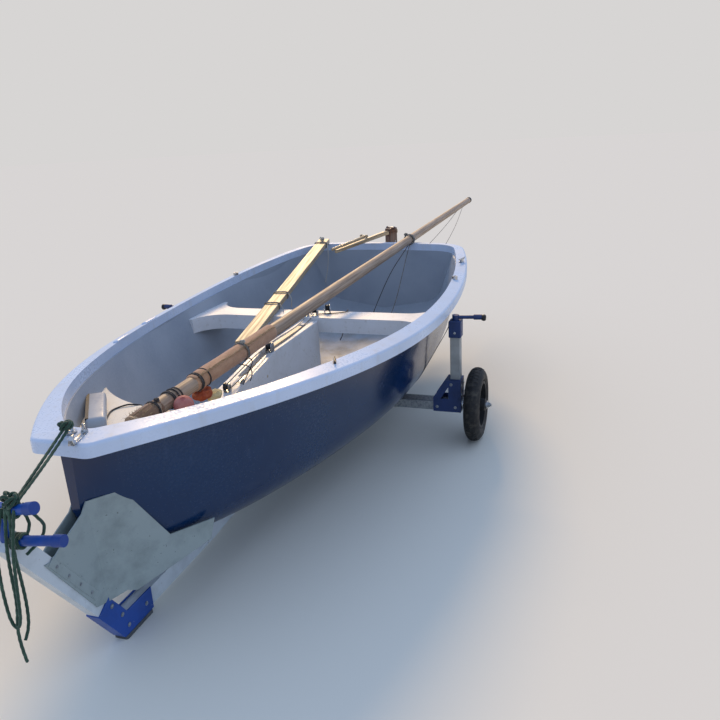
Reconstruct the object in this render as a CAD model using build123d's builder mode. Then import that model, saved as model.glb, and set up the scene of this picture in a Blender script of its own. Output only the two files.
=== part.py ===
import math
import os

from build123d import *

os.makedirs("parts", exist_ok=True)

# Frame: +X to the bow, +Y to port, +Z up from the floor, millimetres.
# Stations are measured aft from the bow, and bow_x places the bow in the frame.
bow_x = 2300.0
seat_gap = 0.3

# Moulding lines seen from above. Columns: station, half breadth.
rim_line = [(0, 95), (300, 300), (800, 528), (1400, 684), (2100, 735), (2750, 672), (3300, 535)]
ridge_line = [(95, 45), (300, 225), (800, 461), (1400, 618), (2100, 670), (2750, 606), (3235, 490)]
rim_nose_radius = 45
ridge_nose_radius = 40
rim_quarter_radius = 210
ridge_quarter_radius = 150

# Deck camber. Columns: station, height on the centreline, fall at camber_half.
camber_line = [(-60, 752, 100), (1650, 798, 100), (3360, 790, 10)]
camber_half = 700
rim_plate = 12
rim_depth = 44
rim_lip = 8
ridge_flange = 6
rim_edge_radius = 11

# Hull table of offsets.
# Columns: station, sheer half breadth, chine half breadth, chine height, keel height, bilge radius.
offsets = [
    (26, 20, 15, 520, 500, 8),
    (120, 105, 49, 370, 330, 34),
    (350, 282, 175, 275, 235, 105),
    (750, 475, 330, 222, 204, 180),
    (1250, 630, 480, 215, 202, 225),
    (1924, 706, 565, 225, 214, 240),
    (2450, 685, 555, 268, 234, 235),
    (2900, 608, 485, 328, 270, 215),
    (3300, 545, 410, 398, 336, 175),
]
hull_wall = 6
hull_tuck = 24
sheer_height = 740
form_top = 900

# Inner moulding.
liner_gap = 22
liner_wall = 5
liner_lip = 5
sole_height = 250
sole_thickness = 8

# Seats.
seat_wall = 8
bow_seat_top = 620
bow_seat_centre = 1165
bow_seat_radius = 590
thwart_fore = 1885
thwart_aft = 2030
thwart_top = 622
thwart_depth = 78
thwart_corner = 150

# Centreboard and its case.
case_fore = 905
case_width = 92
case_top = 606
case_nose = [(800, 530.6), (1350, 606), (1350, 700), (800, 700)]
case_wall = 30
board_thickness = 24
board_slot = 32
board_slot_fore = 1090
board_slot_aft = 1800
board_pin_radius = 7
board_pin = (1250, 520)
board_outline = [(1130, 226), (1690, 226), (1760, 310), (1760, 610), (1385, 610), (1360, 545), (1130, 545)]

# Rowlock sockets on the rim.
rowlock_station = 2376
rowlock_half = 671
rowlock_boss = 15
rowlock_top = 752
rowlock_bore = 6.5

# Mast partner, a collar on the bow seat.
partner_station = 400
mast_bore = 33
partner_radius = 62
partner_height = 4

# Spars. Points are station, half breadth to port, height.
mast_heel = (360, -20, 653.3)
mast_at_transom = (3235, 199, 819.6)
mast_length = 4460
mast_radius_heel = 29
mast_radius_mid = 31
mast_radius_tip = 23
mast_cap_length = 34
sail_start = 345
sail_end = 960
sail_radius = 38
boom_aft_end = (3250, -424, 805)
boom_fore_end = (1480, -188, 588.6)
boom_width = 75
boom_thickness = 30

# Rudder. Distances aft are from the pintle line.
rudder_station = 3338
rudder_angle = 20.9
pintle_radius = 6
pintle_gap = 0.4
gudgeon_heights = (554, 730)
gudgeon_height = 16
gudgeon_radius = 13
stock_fore = 20
stock_aft = 110
stock_width = 44
stock_top = 874
stock_foot = 470
blade_slot = 15.2
blade_pivot = (78, 505)
blade_pin_radius = 8
blade_thickness = 14
blade_outline = [
    (0, 30), (45, 34), (120, 118), (330, 150), (415, 132), (430, 90),
    (425, -10), (395, -34), (120, -38), (45, -34), (0, -30),
]
tiller_length = 530
tiller_width = 30
tiller_height = 28
tiller_centre = 846
tiller_end = 802
extension_radius = 9
extension_length = 330
knob_radius = 11

# Wheels and their brackets.
wheel_station = 1924
wheel_track = 864
tyre_radius = 188
tyre_width = 80
wheel_rim_radius = 118
hub_radius = 30
hub_length = 92
axle_radius = 12.5
running_gap = 0.4
wheel_windows = 6
window_radius = 22
bracket_plate = 6
bracket_outline = [(652, 152), (793, 152), (793, 322), (715, 322), (652, 226)]
bracket_window = [(690, 222), (730, 222), (730, 284)]
bracket_face = 787.3

# Lifting posts.
post_centre = 762
post_size = 50
post_wall = 4
post_head = 559
cap_size = 62
cap_foot = 540
cap_head = 626
crank_height = 640
crank_reach = 892
crank_radius = 9
grip_radius = 13

# Beams of the trolley.
beam_depth = 48
beam_top = 204
beam_length_x = 80
beam_end = 787
spine_width = 40
spine_depth = 66
spine_top = [(64, 90), (700, 92), (1884, 155.7), (2000, 155.7)]
keel_block_station = 1420
keel_block_width = 120
keel_block_length = 60

# Front tube, in the centre plane. Points are station, height.
tube_width = 40
tube_depth = 60
tube_foot = (99.3, 90.3)
tube_head = (-240, 582)
tube_lean = math.degrees(math.atan2(tube_head[1] - tube_foot[1], tube_foot[0] - tube_head[0]))

# Blue knee and foot under the tube.
knee_plate = 4
knee_outline = [(9, 161), (65, 199), (137, 96), (270, 96), (270, 14), (110, 14)]
foot_fore = 114
foot_aft = 264
foot_width = 52

# Bow cradle plates. Points are station, height.
plate_thickness = 4
plate_spread = 0.65
cheek_outer = tube_width / 2 + seat_gap + plate_thickness
fold_foot = (66, 184)
fold_head = (42, 545)
cheek_outline = [
    (13, 200), (69, 183), (45, 546), (20, 517), (-63, 481), (-124, 449), (-151, 453),
]
cradle_outline = [
    (66, 184), (117, 195), (142, 180), (367, 253), (383, 327), (250, 330), (135, 543), (42, 545),
]
pad_outline = [(149, 517), (236, 356), (196, 334), (109, 495)]
pad_depth = 70

# Tow handle. Points are station, half breadth to port, height.
grip_bar_radius = 14
handle_post_radius = 15
handle_low = [(-228, 0, 575), (-218, 170, 594)]
handle_high = [(-234, 0, 664), (-250, 130, 700)]
handle_post = [(-229, 0, 562), (-236, 0, 684)]
grip_cap_length = 26

# Painter. Points are station, half breadth to port, height.
rope_radius = 4.5
painter_taut = [(39, 9, 789), (-241, 62, 701)]
painter_tail_points = [
    (-256.3, 46, 690), (-282, 52, 610), (-282, 46, 520), (-290, 54, 430), (-304, 44, 345), (-298, 52, 262),
]
painter_bight_points = [
    (-223.4, 70, 690), (-200, 84, 640), (-172, 78, 600), (-182, 62, 556), (-226, 50, 540),
]
sling_width = 30
sling_thickness = 3.5
sling_corner = (520, 224.1)
sling_head = (726.8, 590)
sling_top = 618


def at(station, port, height):
    """Point of the frame from a station, a half breadth to port and a height."""
    return Vector(bow_x - station, port, height)


def plan_form(line, inset, quarter_radius, nose_radius):
    """Upright solid inside one moulding line, drawn in by inset."""
    last = len(line) - 1
    points = []
    for i, (station, half) in enumerate(line):
        shift = inset if i == 0 else -inset if i == last else 0
        points.append((bow_x - station - shift, half - inset))
    with BuildPart() as form:
        with BuildSketch():
            with BuildLine():
                Line((points[0][0], 0), points[0])
                Spline(*points)
                Line(points[-1], (points[-1][0], 0))
                mirror(about=Plane.XZ)
            make_face()
        extrude(amount=form_top)
        upright = form.edges().filter_by(Axis.Z).group_by(Axis.X)
        fillet(upright[0], quarter_radius - inset)
        fillet(upright[-1], nose_radius - inset)
    return form.part


def deck_form(drop):
    """Solid under the cambered deck, lowered by drop."""
    far = camber_half + 200
    with BuildPart() as form:
        for station, height, fall in camber_line:
            crown = height - drop
            edge = crown - fall * (far / camber_half) ** 2
            with BuildSketch(Plane.YZ.offset(bow_x - station)):
                with BuildLine():
                    ThreePointArc((-far, edge), (0, crown), (far, edge))
                    Line((far, edge), (far, 0))
                    Line((far, 0), (-far, 0))
                    Line((-far, 0), (-far, edge))
                make_face()
        loft()
    return form.part


def hull_section(row, inset):
    """Closed cross section of the moulded hull at one station."""
    station, sheer, chine, chine_z, keel_z, bilge = row
    flare = (sheer - chine) / (sheer_height - chine_z)
    top_half = max(sheer + flare * (form_top - sheer_height) - inset, 4)
    chine_half = max(chine - 0.6 * inset, 3)
    with BuildSketch(Plane.YZ.offset(bow_x - station)) as face:
        with BuildLine():
            FilletPolyline(
                (0, keel_z + inset),
                (chine_half, chine_z + inset),
                (top_half, form_top),
                radius=bilge * chine_half / chine,
            )
            Line((top_half, form_top), (0, form_top))
            mirror(about=Plane.YZ)
        make_face()
    return face.sketch


def hull_form(inset):
    """Moulded hull from the stem to past the transom, before the sheer is trimmed."""
    sections = [hull_section(row, inset) for row in offsets]
    with BuildPart() as form:
        for section in sections:
            add(section)
        loft()
    return form.part


def rod(start, end, radius):
    """Round bar between two points."""
    axis = end - start
    with BuildPart() as bar:
        with BuildSketch(Plane(start, z_dir=axis)):
            Circle(radius)
        extrude(amount=axis.length)
    return bar.part


def side_plate(outline, port, thickness):
    """Upright plate in the run of the boat, centred on one half breadth."""
    with BuildPart() as plate:
        with BuildSketch(Plane.XZ.offset(-port)):
            with BuildLine():
                Polyline(*[(bow_x - station, height) for station, height in outline], close=True)
            make_face()
        extrude(amount=thickness / 2, both=True)
    return plate.part


def cross_plate(outline, station, thickness):
    """Upright plate across the boat, centred on one station."""
    with BuildPart() as plate:
        with BuildSketch(Plane.YZ.offset(bow_x - station)):
            with BuildLine():
                Polyline(*outline, close=True)
            make_face()
        extrude(amount=thickness / 2, both=True)
    return plate.part


def cradle_slab(outline, side, start, depth):
    """Slab beside the flared face of the cradle, from start to start + depth outward of it."""
    lean = (fold_head[0] - fold_foot[0]) / (fold_head[1] - fold_foot[1])
    normal = Vector(plate_spread, side, plate_spread * lean)
    points = []
    for station, height in outline:
        fold_station = fold_foot[0] + lean * (height - fold_foot[1])
        points.append(at(station, side * (cheek_outer + plate_spread * (station - fold_station)), height))
    face_plane = Plane(points[0], z_dir=normal)
    flat = [tuple(face_plane.to_local_coords(point))[:2] for point in points]
    with BuildPart() as slab:
        with BuildSketch(face_plane.offset(start)):
            with BuildLine():
                Polyline(*flat, close=True)
            make_face()
        extrude(amount=depth)
    return slab.part


def rope(points):
    """Hanging rope: straight runs joined by tangent arcs."""
    corners = [at(*point) for point in points]
    radii = []
    for before, here, after in zip(corners, corners[1:], corners[2:]):
        turn = math.radians((here - before).get_angle(after - here))
        shorter = min((here - before).length, (after - here).length)
        radii.append(0.45 * shorter / math.tan(turn / 2))
    with BuildPart() as strand:
        with BuildLine() as path:
            FilletPolyline(*corners, radius=radii)
        with BuildSketch(Plane(corners[0], z_dir=corners[1] - corners[0])):
            Circle(rope_radius)
        sweep(path=path.line)
    return strand.part


# Moulding forms shared by the hull, the rim and everything that fits inside them.
deck_top = deck_form(0)
deck_under = deck_form(rim_plate)
rim_foot = deck_form(rim_depth)
lip_foot = deck_form(rim_depth + 4)
rim_plan = plan_form(rim_line, 0, rim_quarter_radius, rim_nose_radius)
rim_inside = plan_form(rim_line, rim_lip, rim_quarter_radius, rim_nose_radius)
hull_plan = plan_form(rim_line, hull_tuck, rim_quarter_radius, rim_nose_radius)
hull_inner_plan = plan_form(rim_line, hull_tuck + hull_wall, rim_quarter_radius, rim_nose_radius)
ridge_plan = plan_form(ridge_line, 0, ridge_quarter_radius, ridge_nose_radius)
flange_plan = plan_form(ridge_line, -ridge_flange, ridge_quarter_radius, ridge_nose_radius)
lip_plan = plan_form(ridge_line, -liner_lip, ridge_quarter_radius, ridge_nose_radius)
liner_plan = plan_form(ridge_line, -2, ridge_quarter_radius, ridge_nose_radius)
liner_inner_plan = plan_form(ridge_line, liner_wall - 2, ridge_quarter_radius, ridge_nose_radius)
seat_plan = plan_form(ridge_line, liner_wall + seat_gap - 2, ridge_quarter_radius, ridge_nose_radius)
hull_outer = hull_form(0)
hull_inner = hull_form(hull_wall)
liner_outer = hull_form(liner_gap)
liner_inner = hull_form(liner_gap + liner_wall)
seat_form = hull_form(liner_gap + liner_wall + seat_gap)
hull_touch = hull_form(-0.4)
board_middle = (board_slot_fore + board_slot_aft) / 2

# Hull: one laminate, dark outside, open at the top where the rim caps it.
with BuildPart() as hull_cavity:
    add(hull_inner)
    add(hull_inner_plan, mode=Mode.INTERSECT)
with BuildPart() as hull_shell:
    add(hull_outer)
    add(hull_plan, mode=Mode.INTERSECT)
    add(hull_cavity.part, mode=Mode.SUBTRACT)
    add(deck_under, mode=Mode.INTERSECT)
    with Locations(at(board_middle, 0, 220)):
        Box(board_slot_aft - board_slot_fore, board_slot, 120, mode=Mode.SUBTRACT)
hull_shell.part.label = "hull_shell"
export_step(hull_shell.part, "parts/hull_shell.step")

# Rim: a hat section moulding round the sheer, with a lip outside and a flange inside.
with BuildPart() as rim_hollow:
    add(rim_inside)
    add(flange_plan, mode=Mode.SUBTRACT)
    add(deck_under, mode=Mode.INTERSECT)
with BuildPart() as gunwale_rim:
    add(rim_plan)
    add(deck_top, mode=Mode.INTERSECT)
    add(ridge_plan, mode=Mode.SUBTRACT)
    fillet(gunwale_rim.faces().sort_by(Axis.Z)[-1].outer_wire().edges(), rim_edge_radius)
    add(rim_foot, mode=Mode.SUBTRACT)
    add(rim_hollow.part, mode=Mode.SUBTRACT)
    with Locations(at(rowlock_station, rowlock_half, 745), at(rowlock_station, -rowlock_half, 745)):
        Cylinder(rowlock_bore, 120, mode=Mode.SUBTRACT)
gunwale_rim.part.label = "gunwale_rim"
export_step(gunwale_rim.part, "parts/gunwale_rim.step")

# Liner: the inner moulding with its sole, its top lip under the flange of the rim.
with BuildPart() as liner_cavity:
    add(liner_inner)
    add(liner_inner_plan, mode=Mode.INTERSECT)
    with Locations((bow_x - 1700, 0, sole_height - 250)):
        Box(4000, 2000, 500, mode=Mode.SUBTRACT)
with BuildPart() as liner_body:
    add(liner_outer)
    add(lip_foot, mode=Mode.INTERSECT)
    add(liner_plan, mode=Mode.INTERSECT)
    with Locations((bow_x - 1700, 0, sole_height - sole_thickness - 250)):
        Box(4000, 2000, 500, mode=Mode.SUBTRACT)
with BuildPart() as liner_rail:
    add(lip_plan)
    add(rim_foot, mode=Mode.INTERSECT)
    add(lip_foot, mode=Mode.SUBTRACT)
with BuildPart() as cockpit_liner:
    add(liner_body.part)
    add(liner_rail.part)
    add(liner_cavity.part, mode=Mode.SUBTRACT)
    with Locations(at(board_middle, 0, 240)):
        Box(board_slot_aft - board_slot_fore, board_slot, 60, mode=Mode.SUBTRACT)
cockpit_liner.part.label = "cockpit_liner"
export_step(cockpit_liner.part, "parts/cockpit_liner.step")

# Bow seat: a moulded top and bulkhead, with the mast partner collar.
with BuildPart() as bow_seat:
    with BuildSketch(Plane.XY.offset(sole_height + seat_gap)):
        with Locations((bow_x - 480, 0)):
            Rectangle(840, 1400)
        with Locations((bow_x - bow_seat_centre, 0)):
            Circle(bow_seat_radius, mode=Mode.SUBTRACT)
    extrude(amount=bow_seat_top - sole_height - seat_gap)
    with BuildSketch(Plane.XY.offset(sole_height + seat_gap)):
        with Locations((bow_x - 480, 0)):
            Rectangle(840, 1400)
        with Locations((bow_x - bow_seat_centre, 0)):
            Circle(bow_seat_radius + seat_wall, mode=Mode.SUBTRACT)
    extrude(amount=bow_seat_top - seat_wall - sole_height - seat_gap, mode=Mode.SUBTRACT)
    add(seat_form, mode=Mode.INTERSECT)
    add(seat_plan, mode=Mode.INTERSECT)
    with Locations(at(partner_station, 0, bow_seat_top + partner_height / 2)):
        Cylinder(partner_radius, partner_height)
    with Locations(at(partner_station, 0, bow_seat_top)):
        Cylinder(mast_bore, 72, mode=Mode.SUBTRACT)
bow_seat.part.label = "bow_seat"
export_step(bow_seat.part, "parts/bow_seat.step")

# Centre thwart: a moulded seat flaring out to the sides, open underneath.
thwart_middle = (thwart_fore + thwart_aft) / 2
with BuildPart() as centre_thwart:
    for inset, top in ((0, thwart_top), (seat_wall, thwart_top - seat_wall)):
        with BuildSketch(Plane.XY.offset(thwart_top - thwart_depth)):
            with Locations((bow_x - thwart_middle, 0)):
                Rectangle(2 * thwart_corner + 100 - 2 * inset, 1400)
            for toward in (1, -1):
                edge = bow_x - thwart_middle + toward * ((thwart_aft - thwart_fore) / 2 - inset)
                with Locations((edge + toward * 300, 0)):
                    RectangleRounded(600, 1250 + 2 * inset, thwart_corner + inset, mode=Mode.SUBTRACT)
        amount = top - thwart_top + thwart_depth
        extrude(amount=amount, mode=Mode.ADD if inset == 0 else Mode.SUBTRACT)
    add(seat_form, mode=Mode.INTERSECT)
centre_thwart.part.label = "centre_thwart"
export_step(centre_thwart.part, "parts/centre_thwart.step")

# Centreboard case, from the sole up, closed against the thwart.
case_aft = thwart_fore - seat_gap
case_middle = (case_fore + case_aft) / 2
with BuildPart() as centreboard_case:
    with BuildSketch(Plane.XY.offset(sole_height + seat_gap)):
        with Locations((bow_x - case_middle, 0)):
            Rectangle(case_aft - case_fore, case_width)
    extrude(amount=case_top - sole_height - seat_gap)
    fillet(centreboard_case.edges().filter_by(Axis.Z).group_by(Axis.X)[-1], case_width / 2 - 6)
    fillet(centreboard_case.faces().sort_by(Axis.Z)[-1].edges(), 5)
    add(side_plate(case_nose, 0, 2 * case_width), mode=Mode.SUBTRACT)
    with Locations(at(board_middle, 0, case_top / 2 + sole_height)):
        Box(board_slot_aft - board_slot_fore, board_slot, case_top + 100, mode=Mode.SUBTRACT)
    with Locations(at(board_pin[0], 0, board_pin[1])):
        Cylinder(board_pin_radius + seat_gap, 2 * case_width, rotation=(90, 0, 0), mode=Mode.SUBTRACT)
centreboard_case.part.label = "centreboard_case"
export_step(centreboard_case.part, "parts/centreboard_case.step")

# Centreboard, raised in its case, with its cross pin.
with BuildPart() as centreboard:
    add(side_plate(board_outline, 0, board_thickness))
    with Locations(at(board_pin[0], 0, board_pin[1])):
        Cylinder(board_pin_radius, case_width, rotation=(90, 0, 0))
centreboard.part.label = "centreboard"
export_step(centreboard.part, "parts/centreboard.step")

# Bow eye: a base on the foredeck and a ring for the painter.
with BuildPart() as bow_eye:
    with Locations(at(58, 0, 756)):
        Cylinder(21, 12)
    add(deck_top, mode=Mode.SUBTRACT)
    with Locations(at(58, 0, 775)):
        Torus(14, 4, rotation=(90, 0, 0))
    add(deck_top, mode=Mode.SUBTRACT)
bow_eye.part.label = "bow_eye"
export_step(bow_eye.part, "parts/bow_eye.step")

# Rowlock sockets on the rim, one each side.
for side, sign in (("port", 1), ("starboard", -1)):
    with BuildPart() as rowlock_socket:
        with Locations(at(rowlock_station, sign * rowlock_half, rowlock_top - 20)):
            Cylinder(rowlock_boss, 40)
        add(deck_top, mode=Mode.SUBTRACT)
        with Locations(at(rowlock_station, sign * rowlock_half, 745)):
            Cylinder(rowlock_bore, 120, mode=Mode.SUBTRACT)
    rowlock_socket.part.label = f"rowlock_socket_{side}"
    export_step(rowlock_socket.part, f"parts/rowlock_socket_{side}.step")

# Mast: a tapered round spar lying from the bow seat over the transom.
heel = at(*mast_heel)
mast_axis = (at(*mast_at_transom) - heel).normalized()
mast_plane = Plane(heel, z_dir=mast_axis)
with BuildPart() as mast:
    for along, radius in ((0, mast_radius_heel), (1700, mast_radius_mid), (mast_length, mast_radius_tip)):
        with BuildSketch(mast_plane.offset(along)):
            Circle(radius)
    loft(ruled=True)
mast.part.label = "mast"
export_step(mast.part, "parts/mast.step")

with BuildPart() as mast_cap:
    with BuildSketch(mast_plane.offset(mast_length)):
        Circle(mast_radius_tip + 2)
    extrude(amount=mast_cap_length)
    fillet(mast_cap.faces().sort_by(Axis.X)[0].edges(), 8)
mast_cap.part.label = "mast_cap"
export_step(mast_cap.part, "parts/mast_cap.step")

# Furled sail: a roll of cloth round the mast.
with BuildPart() as furled_sail:
    with BuildSketch(mast_plane.offset(sail_start)):
        Circle(sail_radius)
        Circle(mast_radius_mid + seat_gap, mode=Mode.SUBTRACT)
    extrude(amount=sail_end - sail_start)
furled_sail.part.label = "furled_sail"
export_step(furled_sail.part, "parts/furled_sail.step")

# Boom: a flat board lying from the thwart to the corner of the transom.
boom_axis = at(*boom_fore_end) - at(*boom_aft_end)
boom_side = boom_axis.cross(Vector(0, 0, 1)).normalized()
with BuildPart() as boom:
    with BuildSketch(Plane(at(*boom_aft_end), x_dir=boom_side, z_dir=boom_axis)):
        Rectangle(boom_width, boom_thickness)
    extrude(amount=boom_axis.length)
    fillet(boom.edges().filter_by(GeomType.LINE).group_by(SortBy.LENGTH)[-1], 4)
boom.part.label = "boom"
export_step(boom.part, "parts/boom.step")

# Gudgeons on the transom: an eye on a strap, one above the other.
pintle_x = bow_x - rudder_station
transom_x = bow_x - rim_line[-1][0] + hull_tuck - seat_gap
for name, height in zip(("lower", "upper"), gudgeon_heights):
    with BuildPart() as gudgeon:
        with Locations(((transom_x + pintle_x) / 2, 0, height)):
            Box(transom_x - pintle_x, gudgeon_height, gudgeon_height)
        with Locations((transom_x - 1.5, 0, height)):
            Box(3, 34, 64)
        with Locations((pintle_x, 0, height)):
            Cylinder(gudgeon_radius, gudgeon_height)
            Cylinder(pintle_radius + pintle_gap, 2 * gudgeon_height, mode=Mode.SUBTRACT)
    gudgeon.part.label = f"gudgeon_{name}"
    export_step(gudgeon.part, f"parts/gudgeon_{name}.step")

# Rudder stock: slotted for the blade, mortised for the tiller, with the pintle rod ahead.
pintle_line = Axis((pintle_x, 0, 0), (0, 0, 1))
stock_middle = (stock_fore + stock_aft) / 2
with BuildPart() as stock_square:
    with Locations((pintle_x - stock_middle, 0, (stock_top + stock_foot) / 2)):
        Box(stock_aft - stock_fore, stock_width, stock_top - stock_foot)
    fillet(stock_square.edges().filter_by(Axis.Z), 8)
    with Locations((pintle_x - stock_middle, 0, tiller_centre)):
        Box(200, tiller_width + 2 * seat_gap, tiller_height + 2 * seat_gap, mode=Mode.SUBTRACT)
    with Locations((pintle_x - 82, 0, stock_foot + 40)):
        Box(92, blade_slot, 160, mode=Mode.SUBTRACT)
    with Locations((pintle_x - blade_pivot[0], 0, blade_pivot[1])):
        Cylinder(blade_pin_radius, stock_width, rotation=(90, 0, 0))
    for height in (gudgeon_heights[0] - 24, gudgeon_heights[1] + 24):
        with Locations((pintle_x - 8, 0, height)):
            Box(32, gudgeon_height, 12)
    with Locations((pintle_x, 0, (gudgeon_heights[0] + gudgeon_heights[1]) / 2)):
        Cylinder(pintle_radius, gudgeon_heights[1] - gudgeon_heights[0] + 60)
    with Locations((pintle_x - stock_middle, 0, stock_top)):
        Cylinder(6, 60, rotation=(90, 0, 0))
        with Locations((0, 30, 0), (0, -30, 0)):
            Sphere(knob_radius)
rudder_stock = stock_square.part.rotate(pintle_line, -rudder_angle)
rudder_stock.label = "rudder_stock"
export_step(rudder_stock, "parts/rudder_stock.step")

# Rudder blade, kicked up level behind the stock on its own pin.
with BuildPart() as blade_square:
    outline = [(rudder_station + blade_pivot[0] + aft, blade_pivot[1] + up) for aft, up in blade_outline]
    add(side_plate(outline, 0, blade_thickness))
    with Locations((pintle_x - blade_pivot[0], 0, blade_pivot[1])):
        Cylinder(30, blade_thickness, rotation=(90, 0, 0))
        Cylinder(blade_pin_radius + pintle_gap, 60, rotation=(90, 0, 0), mode=Mode.SUBTRACT)
rudder_blade = blade_square.part.rotate(pintle_line, -rudder_angle)
rudder_blade.label = "rudder_blade"
export_step(rudder_blade, "parts/rudder_blade.step")

# Tiller through the stock, over the transom, tapering and dipping forward.
with BuildPart() as tiller_square:
    with BuildSketch(Plane.YZ.offset(pintle_x - stock_aft - 12)):
        with Locations((0, tiller_centre)):
            RectangleRounded(tiller_width, tiller_height, 6)
    extrude(amount=stock_aft + 12 + 20)
    with BuildSketch(Plane.YZ.offset(pintle_x + 20)):
        with Locations((0, tiller_centre)):
            RectangleRounded(tiller_width, tiller_height, 6)
    with BuildSketch(Plane.YZ.offset(pintle_x + tiller_length)):
        with Locations((0, tiller_end)):
            RectangleRounded(tiller_width - 8, tiller_height - 6, 6)
    loft()
tiller = tiller_square.part.rotate(pintle_line, -rudder_angle)
tiller.label = "tiller"
export_step(tiller, "parts/tiller.step")

# Tiller extension, folded back along the starboard side of the tiller, with a T grip.
extension_y = -tiller_width / 2 - extension_radius - 1
extension_fore = Vector(pintle_x + tiller_length + 8, extension_y, tiller_end + 12)
extension_end = extension_fore + Vector(-extension_length, 0, 34)
with BuildPart() as extension_square:
    add(rod(extension_fore, extension_end, extension_radius))
    add(rod(extension_fore + Vector(-12, 0, 0), extension_fore + Vector(-12, -extension_y - 12, 0), 5))
    add(rod(extension_end - Vector(0, 22, -6), extension_end + Vector(0, 22, 6), 6))
    with Locations(extension_end - Vector(0, 22, -6), extension_end + Vector(0, 22, 6)):
        Sphere(knob_radius)
tiller_extension = extension_square.part.rotate(pintle_line, -rudder_angle)
tiller_extension.label = "tiller_extension"
export_step(tiller_extension, "parts/tiller_extension.step")

# Axle beam across the trolley, under the hull.
with BuildPart() as axle_beam:
    with BuildSketch(Plane.XZ.offset(-beam_end)):
        with Locations((bow_x - wheel_station, beam_top - beam_depth / 2)):
            RectangleRounded(beam_length_x, beam_depth, 5)
            RectangleRounded(beam_length_x - 8, beam_depth - 8, 2, mode=Mode.SUBTRACT)
    extrude(amount=2 * beam_end)
axle_beam.part.label = "axle_beam"
export_step(axle_beam.part, "parts/axle_beam.step")

# Spine from the knee to the axle beam.
spine_foot = [(station, height - spine_depth) for station, height in spine_top]
mitre = (spine_depth * (tube_foot[0] - tube_head[0]) / (tube_head[1] - tube_foot[1]))
spine_foot[0] = (spine_top[0][0] + mitre, spine_foot[0][1])
with BuildPart() as spine_beam:
    add(side_plate(spine_top + spine_foot[::-1], 0, spine_width))
spine_beam.part.label = "spine_beam"
export_step(spine_beam.part, "parts/spine_beam.step")

# Front tube, leaning forward from the spine up to the handle.
lean = math.radians(90 - tube_lean)
half_cut = tube_depth / 2 / math.cos(lean)
across = tube_depth / 2
front_tube_outline = [
    (tube_foot[0] - half_cut, tube_foot[1]),
    (tube_foot[0] + half_cut, tube_foot[1]),
    (tube_head[0] + across * math.cos(lean), tube_head[1] + across * math.sin(lean)),
    (tube_head[0] - across * math.cos(lean), tube_head[1] - across * math.sin(lean)),
]
with BuildPart() as front_tube:
    add(side_plate(front_tube_outline, 0, tube_width))
    add(rod(at(*handle_post[0]) - Vector(0, 0, 2), at(*handle_post[1]), handle_post_radius + seat_gap),
        mode=Mode.SUBTRACT)
    for port in (1, -1):
        end = at(handle_low[1][0], port * handle_low[1][1], handle_low[1][2])
        add(rod(at(*handle_low[0]), end, grip_bar_radius + seat_gap), mode=Mode.SUBTRACT)
front_tube.part.label = "front_tube"
export_step(front_tube.part, "parts/front_tube.step")

# Tow handle: two cranked grip bars on a short post.
with BuildPart() as tow_handle:
    add(rod(at(*handle_post[0]), at(*handle_post[1]), handle_post_radius))
    for root, tip in (handle_low, handle_high):
        for port in (1, -1):
            add(rod(at(*root), at(tip[0], port * tip[1], tip[2]), grip_bar_radius))
        with Locations(at(*root)):
            Sphere(grip_bar_radius)
tow_handle.part.label = "tow_handle"
export_step(tow_handle.part, "parts/tow_handle.step")

# Dark caps on the ends of the grips.
for name, (root, tip), port in (
    ("low_port", handle_low, 1), ("low_starboard", handle_low, -1),
    ("high_port", handle_high, 1), ("high_starboard", handle_high, -1),
):
    grip_root = at(*root)
    grip_tip = at(tip[0], port * tip[1], tip[2])
    grip_way = (grip_tip - grip_root).normalized()
    with BuildPart() as grip_cap:
        add(rod(grip_tip - grip_way * grip_cap_length, grip_tip + grip_way * 4, grip_bar_radius + 2.5))
        add(rod(grip_root, grip_tip + grip_way * seat_gap, grip_bar_radius + seat_gap), mode=Mode.SUBTRACT)
    grip_cap.part.label = f"grip_cap_{name}"
    export_step(grip_cap.part, f"parts/grip_cap_{name}.step")

# Knee: folded plates that join the tube to the spine and reach the foot.
knee_middle = spine_width / 2 + seat_gap + knee_plate / 2
with BuildPart() as foot_knee:
    for port in (1, -1):
        add(side_plate(knee_outline, port * knee_middle, knee_plate))
    with Locations(at((knee_outline[4][0] + knee_outline[5][0]) / 2, 0, knee_outline[4][1] + knee_plate / 2)):
        Box(knee_outline[4][0] - knee_outline[5][0], spine_width + 2 * seat_gap + 2 * knee_plate, knee_plate)
    add(side_plate(
        [(9, 161), (109, 14), (115, 14), (15, 165)], 0, spine_width + 2 * seat_gap + 2 * knee_plate,
    ))
    add(side_plate(front_tube_outline, 0, spine_width + 2 * seat_gap), mode=Mode.SUBTRACT)
    add(spine_beam.part, mode=Mode.SUBTRACT)
foot_knee.part.label = "foot_knee"
export_step(foot_knee.part, "parts/foot_knee.step")

with BuildPart() as foot_pad:
    with Locations(at((foot_fore + foot_aft) / 2, 0, knee_outline[4][1] / 2)):
        Box(foot_aft - foot_fore, foot_width, knee_outline[4][1])
    fillet(foot_pad.edges().filter_by(Axis.Z), 8)
foot_pad.part.label = "foot_pad"
export_step(foot_pad.part, "parts/foot_pad.step")

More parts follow.
